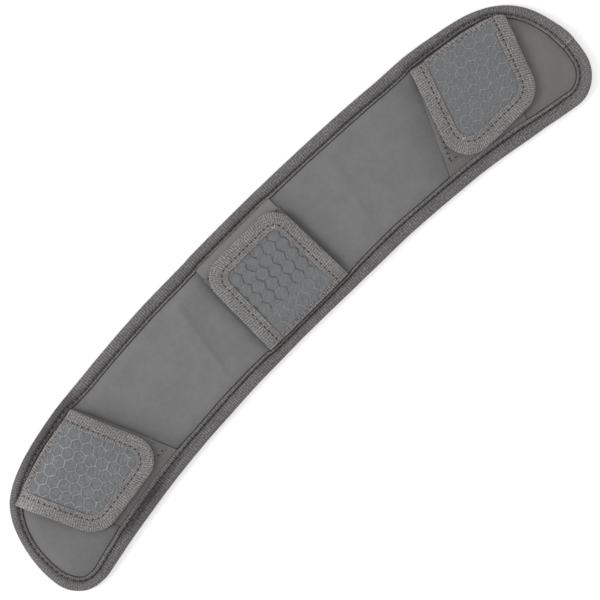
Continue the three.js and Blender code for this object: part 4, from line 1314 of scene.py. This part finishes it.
class CUSHION_OT_flap_stitches(bpy.types.Operator):
    """Sew the rows of stitches on the flaps' tapes and root hems"""

    bl_idname = "cushion.make_flap_stitches"
    bl_label = "Flap stitches"

    def execute(self, context):
        for flap in flaps():
            name, size = flap.name, flap.size
            # One row through the tape: seen above as the needle's stitches and below as the bobbin's
            contour = flap.contour(size.flap_stitch_inset)
            rows = [
                along_line(flap.surface(contour, level, lift), size.flap_stitch_pitch, start=start)
                for level, lift, start in ((1.0, -0.2, 1.2), (0.0, 0.05, 9.5))
            ]
            sewn(f"flap_stitches_{name}", rows, (f"flap_thread_{name}",), blend=flap.hinge_blend())
            sides = flap.window(2, 41, size.flap_tape + 0.8)[0]
            table = together(sides[:, 0], flap.root_line(sides[:, 0]) + 2.1)
            row = along_line(flap.surface(table, 0.78, 0.42), size.flap_stitch_pitch)
            sewn(
                f"root_stitches_{name}", [row], (f"root_thread_{name}",), "pad", finish="hem_thread", pull=0.9
            )
            # Round the hook patch, through the lining only
            inset, reach = size.flap_tape + 1.9, size.hook_length - 3.2
            ends = flap.surface(flap.window(2, 24, inset, far=reach), 0.02)
            sides = flap.surface(flap.window(24, 2, inset, far=reach), 0.02)
            rows = [along_line(line, size.flap_stitch_pitch) for line in sides_of(ends, sides)]
            sewn(f"hook_stitches_{name}", rows, (), f"flap_{name}")
            if flap.station.tack:
                # The frayed end of the seam: three short turns of light thread
                x, y = flap.local(np.array(flap.station.tack))
                offsets = np.array([(-0.9, 0.3), (0.0, -0.2), (0.8, 0.5)])
                table = together(x + offsets[:, 0], y + offsets[:, 1])
                places = flap.surface(table, 1.0, 0.1)
                tangents = np.array([(1.0, 0.5, 0.1), (0.9, -0.5, 0.0), (0.8, 0.9, 0.15)])
                sewn(f"thread_end_{name}", [(places, tangents)], (), f"flap_{name}", finish="thread_end")
        return {"FINISHED"}


def seen_rays(add):
    """One for what the camera sees, straight, by a reflection or through glass, and else nothing."""
    path = add("LightPath").node
    seen = add("MAXIMUM", path.outputs["Is Camera Ray"], path.outputs["Is Glossy Ray"])
    return add("MAXIMUM", seen, path.outputs["Is Transmission Ray"])


class CUSHION_OT_stage(bpy.types.Operator):
    """Set the floor, the lights and the camera"""

    bl_idname = "cushion.make_stage"
    bl_label = "Stage"

    def execute(self, context):
        scene = context.scene
        scene.view_settings.view_transform = "Standard"
        white, lifted = (1, 1, 1, 1), 0.4
        finish, add = new_finish("pale studio floor")
        # Matt paper; what the camera sees of it is lifted to white, and its shadows stay
        paper = add("BsdfDiffuse", {"Color": colour("floor")})
        glow = add("Emission", {"Color": white, "Strength": add("MULTIPLY", seen_rays(add), lifted)})
        add("OutputMaterial", {"Surface": add("AddShader", paper, glow)})
        form = bmesh.new()
        bmesh.ops.create_grid(form, x_segments=1, y_segments=1, size=3.0)
        bmesh.ops.translate(form, verts=form.verts, vec=(0, 0, -0.0003))
        mesh = bpy.data.meshes.new("studio_floor")
        form.to_mesh(mesh)
        form.free()
        mesh.materials.append(finish)
        floor = bpy.data.objects.new("studio_floor", mesh)
        context.collection.objects.link(floor)

        world = bpy.data.worlds.new("studio")
        world.use_nodes = True
        world.node_tree.nodes.clear()
        add = adder(world.node_tree)
        # The light of the sky is soft and weak, and what is seen of it is white
        strength = add("MULTIPLY_ADD", seen_rays(add), lifted, 1 - lifted)
        add("OutputWorld", {"Surface": add("Background", {"Color": white, "Strength": strength})})
        scene.world = world

        for name, place, wide, power in (
            ("key", (-2.0, 1.2, 1.8), 1.4, 32.8),
            ("fill", (0.7, -0.5, 1.3), 1.2, 1.0),
        ):
            lamp = bpy.data.lights.new(name, "AREA")
            lamp.shape, lamp.size, lamp.energy = "DISK", wide, power
            made = bpy.data.objects.new(name, lamp)
            made.location = place
            made.rotation_euler = (-Vector(place)).to_track_quat("-Z", "Y").to_euler()
            context.collection.objects.link(made)

        # Straight above the face, with the photograph's turn and frame
        height, plane, framed = 1.5, 0.008, 0.3894
        view = bpy.data.cameras.new("view")
        view.sensor_width = 36
        view.lens = view.sensor_width * (height - plane) / framed
        view.clip_end = 10
        camera = bpy.data.objects.new("view", view)
        camera.location = (-0.00211, -0.01625, height)
        camera.rotation_euler = (0, 0, math.radians(-45))
        context.collection.objects.link(camera)
        scene.camera = camera
        return {"FINISHED"}


class CUSHION_PT_panel(bpy.types.Panel):
    """Sizes, colours and steps of the cushion"""

    bl_idname = "CUSHION_PT_panel"
    bl_label = "Padded belt cushion"
    bl_space_type = "VIEW_3D"
    bl_region_type = "UI"
    bl_category = "Cushion"

    def draw(self, context):
        layout = self.layout
        for step in STEPS:
            layout.operator(step.bl_idname)
        for group, names in (
            (context.scene.cushion_sizes, CushionSizes.__annotations__),
            (context.scene.cushion_colours, CushionColours.__annotations__),
        ):
            column = layout.column(align=True)
            for name in names:
                column.prop(group, name)


STEPS = (
    CUSHION_OT_stage,
    CUSHION_OT_pad,
    CUSHION_OT_binding,
    CUSHION_OT_edge_stitches,
    CUSHION_OT_panels,
    CUSHION_OT_flap_cloth,
    CUSHION_OT_flap_tape,
    CUSHION_OT_flap_stitches,
)
CLASSES = (CushionSizes, CushionColours, *STEPS, CUSHION_PT_panel)


def register():
    for made in CLASSES:
        bpy.utils.register_class(made)
    bpy.types.Scene.cushion_sizes = PointerProperty(type=CushionSizes)
    bpy.types.Scene.cushion_colours = PointerProperty(type=CushionColours)


def unregister():
    del bpy.types.Scene.cushion_colours
    del bpy.types.Scene.cushion_sizes
    for made in reversed(CLASSES):
        bpy.utils.unregister_class(made)


def main():
    register()
    for step in STEPS:
        group, name = step.bl_idname.split(".")
        getattr(getattr(bpy.ops, group), name)()


if __name__ == "__main__":
    main()
